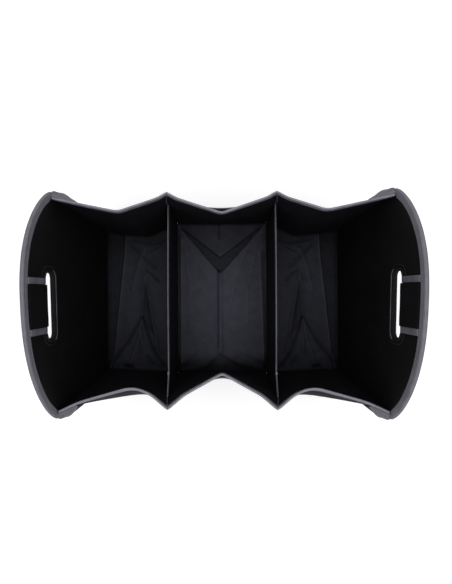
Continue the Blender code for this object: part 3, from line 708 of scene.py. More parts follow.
def cloth_material(name, color, pitch, relief, roughness, shade=0.25, patch=0.03,
                   sheen=0.0, specular=0.35, uv=True, crinkle=0.0, folded=False,
                   painted_creases=False):
    """Woven cloth: crossed waves at the thread spacing, soft patches of shade.

    pitch is the thread spacing and relief its depth, both in metres. patch is
    the size of the patches in metres, and shade how far they darken the colour.
    crinkle adds a slow bump of that depth. Two options paint light and shade into the
    colour: folded, across a folded tape by its attribute fold, and the last one, along
    the piece's own creases by its crease attribute.
    """
    material = bpy.data.materials.new(name)
    material.use_nodes = True
    tree = material.node_tree
    shader = tree.nodes["Principled BSDF"]
    shader.inputs["Specular IOR Level"].default_value = specular
    shader.inputs["Sheen Weight"].default_value = sheen
    shader.inputs["Sheen Roughness"].default_value = 0.4
    where = add_node(material, "TexCoord")
    place = where.outputs["UV" if uv else "Object"]
    waves = [add_node(material, "TexWave",
                      {"wave_type": "BANDS", "bands_direction": way,
                       "Scale": 0.314 / pitch, "Distortion": 0.6, "Detail": 1.0,
                       "Detail Scale": 0.4},
                      {"Vector": place}) for way in ("XY" if uv else "YZ")]
    weave = add_node(material, "Math", {"operation": "ADD"},
                     {0: waves[0].outputs["Fac"], 1: waves[1].outputs["Fac"]})
    patches = add_node(material, "TexNoise", {"Scale": 1.0 / patch, "Detail": 5.0},
                       {"Vector": where.outputs["Object"]})
    spread = add_node(material, "MapRange",
                      {"From Min": 0.3, "From Max": 0.7,
                       "To Min": 1.0 - shade, "To Max": 1.0 + shade},
                      {"Value": patches.outputs["Fac"]})
    threads = add_node(material, "MapRange",
                       {"From Max": 2.0, "To Min": 0.78, "To Max": 1.12},
                       {"Value": weave.outputs["Value"]})
    amount = add_node(material, "Math", {"operation": "MULTIPLY"},
                      {0: spread.outputs["Result"], 1: threads.outputs["Result"]})
    # Painted highlight and painted shade across a folded tape
    if folded:
        amount = add_node(material, "Math", {"operation": "MULTIPLY"},
                          {0: amount.outputs["Value"], 1: fold_light_and_shade(material)})
    # Painted highlight and painted shade along the creases, from the piece's own crease
    # attribute
    if painted_creases:
        crease_light_and_shade = add_node(material, "Attribute", {"attribute_name": "crease_light_and_shade"})
        amount = add_node(material, "Math", {"operation": "MULTIPLY"},
                          {0: amount.outputs["Value"], 1: crease_light_and_shade.outputs["Fac"]})
    tone = add_node(material, "VectorMath", {"operation": "SCALE", 0: color[:3]},
                    {"Scale": amount.outputs["Value"]})
    rough = add_node(material, "MapRange",
                     {"From Min": 0.3, "From Max": 0.7,
                      "To Min": roughness - 0.06, "To Max": roughness + 0.06},
                     {"Value": patches.outputs["Fac"]})
    bump = add_node(material, "Bump", {"Strength": 1.0, "Distance": relief},
                    {"Height": weave.outputs["Value"]})
    if crinkle:
        slow = add_node(material, "TexNoise", {"Scale": 60.0, "Detail": 4.0},
                        {"Vector": where.outputs["Object"]})
        bump = add_node(material, "Bump", {"Strength": 1.0, "Distance": crinkle},
                        {"Height": slow.outputs["Fac"],
                         "Normal": bump.outputs["Normal"]})
    tree.links.new(tone.outputs["Vector"], shader.inputs["Base Color"])
    tree.links.new(rough.outputs["Result"], shader.inputs["Roughness"])
    tree.links.new(bump.outputs["Normal"], shader.inputs["Normal"])
    return material


MATERIALS = {}


def make_materials(colors, sizes):
    """Make each cloth, tape and thread of the organizer once."""
    if MATERIALS:
        return
    weave = sizes.weave
    # 600-denier polyester, plain-woven, dyed black and coated on its back: a
    # dull, even black with a fine grain. Its real threads lie 0.5 mm apart,
    # which is too fine to show, so they are drawn at the coarser spacing.
    MATERIALS["board"] = cloth_material(
        "polyester_cloth_woven_black", colors.board, weave, 0.00012, 0.80,
        specular=0.16, uv=False)
    # The same cloth without a board behind it: softer and crinkled, and drawn in a
    # lighter black than the board as painted light.
    MATERIALS["wall"] = cloth_material(
        "polyester_cloth_soft_black", colors.wall, weave, 0.00012, 0.78, specular=0.16,
        crinkle=0.0006)
    # 210-denier nylon taffeta with a coating: thin and smooth, so it crinkles sharply,
    # with a little gloss. The light along each fold and the shade in its hollows are
    # painted into its colour.
    # The outer lining is the same nylon in a darker copy, as painted shade
    for key, color in (("lining", colors.lining), ("outer", colors.outer)):
        MATERIALS[key] = cloth_material(
            "nylon_taffeta_coated_" + key, color, 0.0009, 0.00005, 0.46, shade=0.16,
            patch=0.02, specular=0.06, crinkle=0.0014, painted_creases=True)
    # Polypropylene tape, woven with ribs across and pressed over the edge: mid grey,
    # with a slight gloss on the fold. Along the rims it is given a lighter grey.
    for key, color in (("tape", colors.tape), ("rim", colors.rim)):
        MATERIALS[key] = cloth_material(
            "polypropylene_tape_ribbed_grey_" + key, color, 0.0014, 0.00016, 0.62,
            shade=0.14, patch=0.012, specular=0.45, folded=True)
    # The same tape drawn into a thin cord, without a fold: the corner cords.
    MATERIALS["piping"] = cloth_material(
        "polypropylene_piping_grey", colors.tape, 0.0009, 0.00010, 0.60, uv=False)
    # Brushed knit over foam: soft and dull, a touch lighter than the board.
    MATERIALS["sleeve"] = cloth_material(
        "knit_brushed_over_foam", colors.sleeve, 0.0016, 0.00020, 0.88, sheen=0.01,
        specular=0.08)
    # Twisted polyester thread, slightly glossy: pale on the tapes and the slots'
    # cords, dark on the black cloth.
    MATERIALS["thread"] = cloth_material(
        "polyester_thread_twisted_grey", colors.thread, 0.0006, 0.00004, 0.55, uv=False)
    MATERIALS["seam"] = cloth_material(
        "polyester_thread_twisted_black", colors.seam, 0.0006, 0.00004, 0.55, uv=False)


def dress(item, material, slot, *nodes):
    """Give a piece its material and its body, and hide the nodes it stands for. Its
    slot is not used.
    """
    item.data.materials.append(MATERIALS[material])
    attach(item, "root")
    if nodes:
        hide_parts(*nodes)
    return item


def sew(name, rows, sizes, thread="thread"):
    """Sew rows of stitches and dress them in their thread."""
    return dress(stitches(name, rows, sizes), thread, "grey_tape")


class OrganizerOperator:
    """What the organizer's operators share."""

    bl_options = {"REGISTER", "UNDO"}

    def execute(self, context):
        colors, sizes = context.scene.organizer_colors, context.scene.organizer_sizes
        make_materials(colors, sizes)
        self.build(context, sizes)
        return {"FINISHED"}


class ORGANIZER_OT_end_panels(OrganizerOperator, bpy.types.Operator):
    """Build the two arched end panels with their handle slots"""

    bl_idname = "organizer.end_panels"
    bl_label = "End Panels"

    def build(self, context, sizes):
        """Each face is a ring of straight lines from the slot's edge to the outline."""
        outline = arch_outline(161)
        top = int(np.argmax(outline[:, 1]))
        foot = np.array([outline[-1], outline[0]])
        outer = np.vstack([even_line(outline[top:], 141)[:-1], even_line(foot, 91)[:-1],
                           even_line(outline[:top + 1], 141)[:-1]])
        steps = 12
        hole = slot_outline(0.0, steps)
        # The ring is divided at the middle of the slot's two lower corners
        low = 1 + (steps + 1) + steps // 2
        inner = np.vstack([even_line(hole[:low + 1], 141)[:-1],
                           even_line(hole[low:len(hole) - low], 91)[:-1],
                           even_line(hole[len(hole) - low - 1:], 141)[:-1]])
        t = np.linspace(0.0, 1.0, 41)[None, :, None]
        plan = inner[:, None] * (1.0 - t) + outer[:, None] * t
        y, z = plan[..., 0], plan[..., 1]
        loose = ramp(t[..., 0], 0.0, 0.15) * ramp(1.0 - t[..., 0], 0.0, 0.12)
        puff = loose * (0.0004 * ripple(y, z, 0.09, 3)
                        + 0.0003 * ripple(y, z, 0.035, 4))
        for side, word in ENDS:
            front = end_point(side, y, z, -0.5 * np.abs(puff) + puff)
            back = end_point(side, y, z, END_BOARD + puff)
            panel = slab("end_panel_cloth_" + word, front, back, closed=True)
            dress(panel, "board", "panel_cloth", "end_panel_" + word)


class ORGANIZER_OT_end_bindings(OrganizerOperator, bpy.types.Operator):
    """Build the grey tape over the end panels' sides and arches, with its stitches"""

    bl_idname = "organizer.end_bindings"
    bl_label = "End Bindings"

    def build(self, context, sizes):
        outline = even_line(arch_outline(161), 420)
        along = unit(np.gradient(outline, axis=0))
        inward = np.stack([along[:, 1], -along[:, 0]], axis=1)
        depth = SIDE_TAPE_DEPTH + (ARCH_TAPE_SHOWN - SIDE_TAPE_DEPTH) * ramp(
            outline[:, 1], RIM_Z - 0.006, RIM_Z + 0.004)
        depth = depth + 0.0012 * np.exp(-((outline[:, 1] - RIM_Z - 0.010) / 0.012) ** 2)
        inner = outline + inward * depth[:, None]
        inner[:, 1] = np.maximum(inner[:, 1], 0.0)
        inner[[0, -1], 1] = 0.0
        for side, word in ENDS:
            edge = end_point(side, outline[:, 0], outline[:, 1], END_BOARD / 2)
            low = end_point(side, inner[:, 0], inner[:, 1], END_BOARD / 2)
            tape, seams = fold_tape("end_tape_" + word, edge, low,
                                    END_BOARD / 2 + GAP, TAPE, sizes.crown)
            dress(tape, "tape", "grey_tape", "end_binding_" + word)
            sew("end_tape_stitches_" + word, seams, sizes)


class ORGANIZER_OT_grips(OrganizerOperator, bpy.types.Operator):
    """Build the slots' bound lips, the soft grips and the tapes at their ends"""

    bl_idname = "organizer.grips"
    bl_label = "Handle Slots and Grips"

    def build(self, context, sizes):
        for side, word in ENDS:
            self.lip(side, word, sizes)
            half = GRIP_TAPE_Y - GRIP_TAPE_WIDTH / 2 - 2 * GAP
            sleeve = self.wrap("grip_cloth_" + word, side, 0.0, half,
                               SLEEVE_CLOTH + SLEEVE_PUFF, 2.2 * sizes.crown)
            dress(sleeve, "sleeve", "sleeve_cloth", "grip_sleeve_" + word)
            for place, sign in (("back", 1), ("front", -1)):
                tape = self.wrap("grip_band_" + word + "_" + place, side,
                                 sign * GRIP_TAPE_Y, GRIP_TAPE_WIDTH / 2,
                                 SLEEVE_CLOTH + TAPE / 2, sizes.crown)
                dress(tape, "tape", "grey_tape", "grip_tape_" + word + "_" + place)

    def wrap(self, name, side, centre_y, half_width, thickness, crown):
        """Wrap a band from the end tape through the slot and up the other face."""
        y = np.linspace(centre_y - half_width, centre_y + half_width, 12)
        high = arch_z(y) - ARCH_TAPE_SHOWN - 2 * GAP
        edge = end_point(side, y, np.full_like(y, SLOT_TOP_Z), END_BOARD / 2)
        low = end_point(side, y, high, END_BOARD / 2)
        board = END_BOARD / 2 + GAP
        return fold_tape(name, edge, low, board, thickness, crown, 0.05)[0]

    def lip(self, side, word, sizes):
        """Bound lip round the slot's ends and lower side, its cord and its stitches."""
        start = GRIP_TAPE_Y + GRIP_TAPE_WIDTH / 2 + GAP
        lines = []
        for grow in (0.0, SLOT_RIM_DEPTH, LIP_STITCH_OUT):
            line = slot_outline(grow, 10)[1:-1]
            top = line[0, 1]
            lines.append(np.vstack([[(start, top)], line, [(-start, top)]]))
        edge = end_point(side, lines[0][:, 0], lines[0][:, 1], END_BOARD / 2)
        low = end_point(side, lines[1][:, 0], lines[1][:, 1], END_BOARD / 2)
        lip, seams = fold_tape("slot_lip_" + word, edge, low, END_BOARD / 2 + GAP,
                               2.0 * TAPE, 0.6 * sizes.crown)
        dress(lip, "wall", "grey_tape", "slot_rim_" + word)
        rows = list(seams)
        arc = even_line(lines[2], 160)
        # A raised cord in light thread along the lip's lower edge; its light colour is
        # a painted highlight on the rolled edge
        low_arc = slot_outline(LIP_CORD_OUT, 10)
        below = low_arc[:, 1] < SLOT_MID_Z - 0.42 * SLOT_HEIGHT
        low_arc = even_line(low_arc[below], 90)
        for depth, out, face in ((-LIFT, -side, "inner"),
                                 (END_BOARD + LIFT, side, "outer")):
            out = (float(out), 0.0, 0.0)
            line = end_point(side, arc[:, 0], arc[:, 1], depth)
            rows.append((line, np.tile(out, (len(arc), 1))))
            line = end_point(side, low_arc[:, 0], low_arc[:, 1], depth)
            cord = ridge("slot_highlight_cord_" + word + "_" + face, line,
                         np.tile(out, (len(low_arc), 1)), *LIP_CORD)
            dress(cord, "thread", "grey_tape")
        sew("slot_stitches_" + word, rows, sizes, "seam")


class ORGANIZER_OT_walls(OrganizerOperator, bpy.types.Operator):
    """Build the long walls' six cloth panels and the tapes over their seams"""

    bl_idname = "organizer.walls"
    bl_label = "Long Walls"

    def build(self, context, sizes):
        z = np.linspace(BASE_CLOTH, WALL_TOP_Z, 84)
        for face, word in FACES:
            for bay in BAYS:
                grid = lift(wall_plan(bay, face, z), z)
                seed = 22 if bay == "middle" else 20
                grid = grid + self.slack(grid, bay, face, seed, sizes.slack)
                name = word + "_wall_" + bay
                wall = sheet_slab(word + "_cloth_" + bay, grid, WALL_CLOTH)
                dress(wall, "wall", "wall_cloth", name)
            for side, name in ENDS:
                self.seam_tape(side, face, word + "_" + name)

    def slack(self, grid, bay, face, seed, depth):
        """Move cloth sideways by ripples and folds that fade out at every seam."""
        u = grid_lengths(grid)[..., 0]
        if bay == "left":
            u = u.max(axis=1, keepdims=True) - u
        z = grid[..., 2]
        width = u.max(axis=1, keepdims=True)
        free = ramp(z, 0.0, 0.05) * ramp(RIM_Z - 0.014 - z, 0.0, 0.05)
        free = free * ramp(u, 0.0, 0.02) * ramp(width - u, 0.0, 0.02)
        move = (ripple(u, 0.6 * z, 0.11, seed + face)
                + 0.7 * crumple(u, z, 0.06, seed + 5))
        side = grid_normals(grid)
        return side * (free * depth * move)[..., None]

    def seam_tape(self, side, face, name):
        """Tape over the outside of the seam between two bays, down to the base."""
        z = np.linspace(WALL_FOOT_Z, WALL_LOW_Z - 2 * GAP, 60)
        bays = ("left", "middle") if side < 0 else ("middle", "right")
        before, after = (wall_plan(bay, face, z) for bay in bays)
        one, two = before[:, -1], after[:, 0]
        t = np.linspace(0.0, 1.0, 5)[None, :, None]
        start = one + unit(before[:, -3] - one) * SEAM_TAPE_WIDTH
        end = two + unit(after[:, 2] - two) * SEAM_TAPE_WIDTH
        middle = (one + two) / 2 + (0.0, 0.5 * face * GAP)
        there = start[:, None] * (1 - t) + middle[:, None] * t
        back = middle[:, None] * (1 - t) + end[:, None] * t
        plan = np.concatenate([there, back[:, 1:]], axis=1)
        grid = lift(plan, z)
        out = grid_normals(grid)
        out = out * np.sign(face * out[..., 1:2])
        near = grid + out * (WALL_CLOTH / 2 + 2 * GAP)
        tape = slab("seam_band_" + name, near + out * TAPE, near)
        dress(tape, "wall", "black_tape", "seam_tape_" + name)


class ORGANIZER_OT_wings(OrganizerOperator, bpy.types.Operator):
    """Build the cloth wings round the four corners, with the tape that closes them"""

    bl_idname = "organizer.wings"
    bl_label = "Corner Wings"

    def build(self, context, sizes):
        top = WALL_LOW_Z - 2 * GAP - TAPE
        z = np.concatenate([np.linspace(WALL_FOOT_Z, top - WING_TAPE_DEPTH, 60), [top]])
        for face, word in FACES:
            for side, end in ENDS:
                name = word + "_" + end
                grid = lift(self.plan(face, side, z), z)
                run = run_length(grid[-1])
                grid[..., 2] *= 1.0 - WING_SINK * (1.0 - ramp(run, 0.002, 0.022))
                fade = 1.0 - 0.8 * ramp(run / run[-1], 0.5, 1.0)
                share = ramp(run, 0.003, 0.012) * fade
                inward = grid_normals(grid)[-1] * (1.0, 1.0, 0.0)
                inward = unit(inward) * -face * np.sign(inward[:, 1:2])
                grid[-1] += inward * WING_TUCK * share[:, None]
                cloth = sheet_slab("wing_cloth_" + name, grid, WALL_CLOTH)
                dress(cloth, "wall", "wall_cloth", "wing_" + name)
                tape, seams = fold_tape(
                    "wing_tape_" + name, grid[-1, 1:], grid[-2, 1:],
                    WALL_CLOTH / 2 + GAP, TAPE, 0.6 * sizes.crown)
                dress(tape, "tape", "grey_tape", "wing_binding_" + name)
                sew("wing_stitches_" + name, seams, sizes)
                cap = self.cap("wing_cap_" + name, grid[-1], face, side)
                dress(cap, "tape", "grey_tape")

    def cap(self, name, edge, face, side):
        """Tape that closes the space between a wing's top edge and the wall's rim.

        It runs straight across from the edge to the nearest place on the wall,
        and swells by half a sine between them.
        """
        corners = plan_corners("right", face, np.array([WALL_LOW_Z]))[0]
        neck, end = corners[3], corners[4]
        along = unit(end - neck)
        flat = edge[:, :2] * (side, 1.0)
        share = np.clip((flat - neck) @ along, 0.0, np.linalg.norm(end - neck) + 0.0005)
        out = outward_of(along, face) * (WALL_CLOTH / 2 + GAP + TAPE)
        wall = neck + along * share[:, None] + out
        tall = np.full(len(wall), WALL_TOP_Z - 0.0020)
        wall = np.column_stack([wall * (side, 1.0), tall])
        t = np.linspace(0.0, 1.0, 9)[:, None, None]
        grid = wall[None] * (1.0 - t) + (edge + (0.0, 0.0, 0.0004))[None] * t
        grid[..., 2] += 0.0008 * np.sin(math.pi * t[..., 0])
        item = sheet_slab(name, grid, TAPE)
        # Painted shade: the cap takes the tape's fold ramp, darkest in a stripe beside
        # the wall
        shade = np.broadcast_to(np.interp(t[..., 0], (0.0, 0.3, 1.0), (0.92, 1.3, 1.7)),
                                grid.shape[:2])
        paint(item, "fold", shade)
        return item

    def plan(self, face, side, z):
        """Return a wing's plans: along the panel's side, round a bend, to the wall."""
        wide = half_straight(z)
        edge_x = end_face_x(face * wide, z) + END_BOARD / 2
        start = np.stack([edge_x, face * (wide + GAP + TAPE + WING_CLEAR)], axis=1)
        corners = plan_corners("right", face, z)
        neck, end = corners[:, 3], corners[:, 4]
        share = (edge_x - FOLDS[face]["reach"] - neck[:, 0]) / (end - neck)[:, 0]
        along = unit(end - neck)
        out = outward_of(along, face) * (WALL_CLOTH / 2 + WING_CLEAR)
        finish = neck + (end - neck) * share[:, None] + out
        curve = bend(start, start - (WING_BEND, 0.0), finish, WING_ROUND, 14)
        plan = np.concatenate([start[:, None], between(start, curve[:, 0], 4),
                               curve[:, 1:], between(curve[:, -1], finish, 10)], axis=1)
        return plan * (side, 1.0)


class ORGANIZER_OT_rims(OrganizerOperator, bpy.types.Operator):
    """Build the grey tape over the long walls' top edges, with its stitches"""

    bl_idname = "organizer.rims"
    bl_label = "Wall Rims"

    def build(self, context, sizes):
        for face, word in FACES:
            both = np.hstack([long_side(face, WALL_TOP_Z), long_side(face, WALL_LOW_Z)])
            both = soften(resample(both, RIM_STEP), 6)
            tape, seams = fold_tape(word + "_rim_tape", both[:, :3], both[:, 3:],
                                    WALL_CLOTH / 2 + GAP, TAPE, sizes.crown, 0.30)
            dress(tape, "rim", "grey_tape", word + "_binding")
            edge, up = both[:, :3], unit(both[:, :3] - both[:, 3:])
            for side in (-1, 1):
                corner = side * (DIVIDER_X - CORNER_LEAN)
                at = int(np.argmin(np.abs(edge[:, 0] - corner)))
                place = edge[at] + up[at] * (GAP + TAPE + LIFT)
                seams += tack(place, edge[at + 2] - edge[at - 2], up[at])
            sew(word + "_rim_stitches", seams, sizes)


class ORGANIZER_OT_dividers(OrganizerOperator, bpy.types.Operator):
    """Build the two dividers, the tape over their tops and the cords above them"""

    bl_idname = "organizer.dividers"
    bl_label = "Dividers"

    def build(self, context, sizes):
        back = side_y(BACK, GAP - WALL_CLOTH / 2)
        front = side_y(FRONT, GAP - WALL_CLOTH / 2)
        y = np.linspace(front, back, 110)
        top = DIVIDER_TOP_Z + DIVIDER_RISE * np.clip(
            1.0 - (y - front) / DIVIDER_RISE_RUN, 0.0, 1.0)
        top = soften(top[:, None], 7)[:, 0]
        t = np.linspace(0.0, 1.0, 34)[:, None]
        z = t * top[None, :]
        y_grid = np.broadcast_to(y[None, :], z.shape)
        for side, word in ENDS:
            x = side * (DIVIDER_X + self.bow(y_grid, z) + divider_splay(z))
            grid = np.stack([x, y_grid, z], axis=-1)
            board = sheet_slab("divider_cloth_" + word, grid, DIVIDER_SHOWN)
            dress(board, "wall", "panel_cloth", "divider_" + word)
            inside = (y > front + WALL_CLOTH) & (y < back - WALL_CLOTH)
            edge = grid[-1][inside]
            low = edge - (0.0, 0.0, DIVIDER_TAPE_DEPTH)
            tape, seams = fold_tape("divider_tape_" + word, edge, low,
                                    DIVIDER_SHOWN / 2 + DIVIDER_GAP, DIVIDER_TAPE, 0.0)
            dress(tape, "tape", "grey_tape", "divider_binding_" + word)
            knee = int(np.argmin(np.abs(edge[:, 1] - front - DIVIDER_RISE_RUN)))
            place = edge[knee] + (0.0, 0.0, GAP + TAPE + LIFT)
            along = edge[knee + 1] - edge[knee - 1]
            seams += tack(place, along, np.array((0.0, 0.0, 1.0)))
            sew("divider_stitches_" + word, seams, sizes)
            for (face, end), low_z in zip(FACES, (DIVIDER_TOP_Z, CORNER_KNEE_Z)):
                tall = np.linspace(low_z - 0.001, WALL_LOW_Z, 40)
                wall_y = np.full_like(tall, side_y(face, WALL_CLOTH / 2))
                line = np.stack([side * corner_x(tall), wall_y, tall], axis=1)
                out = np.tile((0.0, -float(face), 0.0), (len(tall), 1))
                cord = ridge("corner_cord_" + end + "_" + word, line, out, *CORNER_CORD)
                dress(cord, "piping", "grey_tape")

    def bow(self, y, z):
        """Return the divider's slight bend: half a sine along it, more at its top."""
        wave = np.sin(math.pi * (y - BOW_START) / BOW_RUN)
        return DIVIDER_BOW * wave * ramp(z, 0.0, DIVIDER_TOP_Z)


class ORGANIZER_OT_pockets(OrganizerOperator, bpy.types.Operator):
    """Build the flat outside pockets of the middle bay with their taped mouths"""

    bl_idname = "organizer.pockets"
    bl_label = "Outside Pockets"

    def build(self, context, sizes):
        top = POCKET_Z - TAPE - GAP
        low_z = top - POCKET_TAPE_DEPTH
        z = np.concatenate([np.linspace(WALL_FOOT_Z, low_z, 50), [top]])
        for face, word in FACES:
            grid = lift(self.plan(face, z), z)
            u = grid[..., 0]
            free = ramp(grid[..., 2], 0.0, 0.04) * ramp(low_z - grid[..., 2], 0.0, 0.02)
            free = free * ramp(0.075 - np.abs(u), 0.0, 0.02)
            grid[..., 1] += face * 0.0008 * free * crumple(u, grid[..., 2], 0.05, 61)
            cloth = sheet_slab(word + "_pocket_cloth", grid, POCKET_CLOTH)
            dress(cloth, "wall", "wall_cloth", word + "_pocket")
            tape, seams = fold_tape(word + "_pocket_tape", grid[-1], grid[-2],
                                    POCKET_CLOTH / 2 + GAP, TAPE, 0.6 * sizes.crown)
            dress(tape, "tape", "grey_tape", word + "_pocket_binding")
            sew(word + "_pocket_stitches", seams, sizes)

    def plan(self, face, z):
        """Return the pocket's plans at z: two straight runs and a rounded middle."""
        corners = plan_corners("middle", face, z)
        near = WALL_CLOTH / 2 + 2 * GAP + POCKET_CLOTH / 2
        off = near + (TAPE + GAP) * ramp(z, 0.0, POCKET_Z - POCKET_TAPE_DEPTH)
        sag = BACK_POCKET_SAG if face == BACK else FRONT_POCKET_SAG
        along = unit(corners[:, 1] - corners[:, 0])
        out = outward_of(along, face) * off[:, None]
        start = corners[:, 0] + along * (SEAM_TAPE_WIDTH + 4 * GAP) + out
        middle_y = side_y(face, sag * z / POCKET_Z) + face * near
        middle = np.stack([np.zeros_like(z), middle_y], axis=1)
        other = start * (-1.0, 1.0)
        curve = bend(start, middle, other, POCKET_ROUND, 16)
        return np.concatenate([start[:, None], between(start, curve[:, 0], 16),
                               curve[:, 1:], between(curve[:, -1], other, 16)], axis=1)


# Creases of the bases: how high the fold stands, how far its foot reaches, how much
# painted light or painted shade lies along its line and how wide that line is, then its
# points.
# All lengths are in metres. An outer base is given for the right-hand side.
MIDDLE_CREASES = (
    (0.0050, 0.0060, 0.70, 0.0012, ((-0.0035, 0.0600), (-0.0038, -0.1150))),
    (0.0, 0.01, -0.42, 0.0030, ((-0.0078, 0.0640), (-0.0080, -0.1000))),
    (0.0, 0.01, -0.14, 0.0030, ((0.0020, -0.0300), (0.0020, -0.1100))),
    (0.0035, 0.0050, -0.26, 0.0026,
     ((-0.0038, -0.1142), (-0.0317, -0.1400), (-0.0900, -0.1520))),
    (0.0035, 0.0050, -0.26, 0.0026,
     ((-0.0038, -0.1142), (0.0295, -0.1352), (0.0840, -0.1480))),
    (0.0020, 0.0040, -0.16, 0.0020, ((-0.0513, -0.1060), (-0.0819, -0.1390))),
    (0.0020, 0.0040, -0.16, 0.0020, ((0.0360, -0.1080), (0.0840, -0.1300))),
    (0.0016, 0.0040, 0.16, 0.0016,
     ((-0.0840, 0.1500), (-0.0513, 0.0845), (-0.0207, 0.0343))),
    (0.0014, 0.0040, 0.14, 0.0016,
     ((-0.0819, 0.1325), (-0.0690, 0.0234), (-0.0700, -0.0600))),
    (0.0016, 0.0040, 0.16, 0.0016,
     ((0.0731, 0.1500), (0.0382, 0.0780), (0.0186, 0.0015))),
    (0.0014, 0.0040, 0.12, 0.0016,
     ((0.0760, 0.1250), (0.0560, 0.0300), (0.0540, -0.0500))),
    (0.0012, 0.0030, -0.40, 0.0016, ((-0.0060, 0.1680), (-0.0060, 0.1325))),
    (0.0014, 0.0030, 0.60, 0.0010, ((-0.0870, 0.1380), (-0.0884, -0.1340))),
    (0.0, 0.01, -0.34, 0.0040, ((-0.0930, 0.1400), (-0.0940, -0.1340))),
    (0.0014, 0.0030, 0.60, 0.0010, ((0.0812, 0.1063), (0.0900, -0.1295))),
    (0.0, 0.01, -0.34, 0.0038, ((0.0870, 0.1063), (0.0955, -0.1295))),
)
OUTER_CREASES = (
    (0.0018, 0.0040, 0.95, 0.0012,
     ((0.2085, 0.1435), (0.2107, 0.0954), (0.2205, 0.0125),
      (0.2347, -0.1120), (0.2434, -0.1447))),
    (0.0055, 0.0070, 0.50, 0.0013,
     ((0.1670, 0.0539), (0.1441, -0.0858), (0.1400, -0.1100))),
    (0.0045, 0.0050, 0.40, 0.0013, ((0.1670, 0.0539), (0.1736, -0.0356))),
    (0.0035, 0.0060, -0.48, 0.0032,
     ((0.1736, -0.0356), (0.2019, -0.0858), (0.2369, -0.1294))),
    (0.0035, 0.0040, 0.45, 0.0013, ((0.1736, -0.0356), (0.1757, -0.1120))),
    (0.0035, 0.0050, -0.50, 0.0032,
     ((0.1736, -0.0356), (0.1452, -0.1120), (0.1277, -0.1360))),
    (0.0024, 0.0040, 0.60, 0.0012,
     ((0.1998, -0.1338), (0.1801, -0.0749), (0.1757, -0.0421))),
    (0.0024, 0.0030, 0.80, 0.0012,
     ((0.2096, -0.1480), (0.1700, -0.1505), (0.1223, -0.1510))),
    (0.0, 0.01, -0.60, 0.0045, ((0.2100, -0.1400), (0.1960, -0.1420))),
    (0.0, 0.01, -0.45, 0.0050, ((0.1640, -0.1200), (0.1500, -0.1340))),
    (0.0026, 0.0040, -0.36, 0.0022,
     ((0.1910, 0.1151), (0.1605, 0.0845), (0.1452, 0.0714))),
    (0.0022, 0.0040, 0.34, 0.0018,
     ((0.1670, 0.1151), (0.1823, 0.0779), (0.1954, 0.0234))),
    (0.0022, 0.0040, 0.34, 0.0018,
     ((0.1605, 0.0998), (0.1386, 0.1107), (0.1212, 0.1260))),
    (0.0026, 0.0040, -0.40, 0.0024,
     ((0.1640, 0.0640), (0.1500, 0.0560), (0.1386, 0.0430))),
    (0.0018, 0.0040, -0.32, 0.0024,
     ((0.1900, 0.1300), (0.1500, 0.1200), (0.1250, 0.1280))),
    (0.0, 0.01, 0.16, 0.0400, ((0.1860, 0.0900), (0.1900, 0.0300))),
)

# Areas of the bases that lie higher or lower than the cloth round them, or only take
# painted shade: the step, how much painted light or painted shade they take, how wide
# their border is, and their corners
MIDDLE_AREAS = (
    (-0.0035, -0.62, 0.0030, ((-0.0039, 0.0583), (0.0880, 0.1600), (0.0906, 0.2000),
                             (-0.0930, 0.2000), (-0.0900, 0.1600))),
    (0.0060, 0.24, 0.0024, ((-0.0039, 0.0932), (0.0906, 0.1640), (0.0906, 0.2000),
                           (-0.0930, 0.2000), (-0.0930, 0.1640))),
    (0.0, -0.85, 0.0400,
     ((-0.12, -0.1270), (-0.12, -0.22), (0.12, -0.22), (0.12, -0.1270))),
)
OUTER_AREAS = (
    (-0.0020, -0.38, 0.0024, ((0.2085, 0.2000), (0.2107, 0.0954), (0.2347, -0.1120),
                             (0.2434, -0.2000), (0.2700, -0.2000), (0.2700, 0.2000))),
    (-0.0020, -0.36, 0.0030, ((0.1670, 0.0539), (0.1441, -0.0858), (0.1736, -0.0356))),
    (0.0, -0.30, 0.0300,
     ((0.09, -0.1300), (0.09, -0.22), (0.27, -0.22), (0.27, -0.1300))),
    (0.0, -0.20, 0.0400, ((0.27, 0.1150), (0.27, 0.22), (0.09, 0.22), (0.09, 0.1150))),
)


def line_distance(x, y, line):
    """Return the distance of each point from the nearest part of a line."""
    distance = np.full_like(x, np.inf)
    for (ax, ay), (bx, by) in zip(line[:-1], line[1:]):
        share = (x - ax) * (bx - ax) + (y - ay) * (by - ay)
        share = np.clip(share / ((bx - ax) ** 2 + (by - ay) ** 2), 0.0, 1.0)
        distance = np.minimum(distance, np.hypot(x - ax - share * (bx - ax),
                                                 y - ay - share * (by - ay)))
    return distance


def area_depth(x, y, corners):
    """Return how deep each point lies in a convex area, below 0 outside it."""
    depth = np.full_like(x, np.inf)
    for (ax, ay), (bx, by) in zip(corners, corners[1:] + corners[:1]):
        cross = (bx - ax) * (y - ay) - (by - ay) * (x - ax)
        depth = np.minimum(depth, cross / math.hypot(bx - ax, by - ay))
    return depth


def creased(x, y, creases, areas):
    """Return the height and the painted light and shade of cloth with creases and
    stepped areas.

    A crease stands up by its height times e to the power of minus distance over reach,
    and the highest one counts. It paints light or shade along its line by a bell curve.
    """
    height, folds = np.full_like(x, BASE_LOFT), np.zeros_like(x)
    shade = np.ones_like(x)
    for step, tint, border, corners in areas:
        share = ramp(area_depth(x, y, corners), -border / 2, border / 2)
        height += step * share
        shade += tint * share
    for tall, reach, tint, width, line in creases:
        distance = line_distance(x, y, line)
        folds = np.maximum(folds, tall * np.exp(-distance / reach))
        shade += tint * np.exp(-(distance / width) ** 2)
    return height + folds, np.clip(shade, 0.18, 2.2)


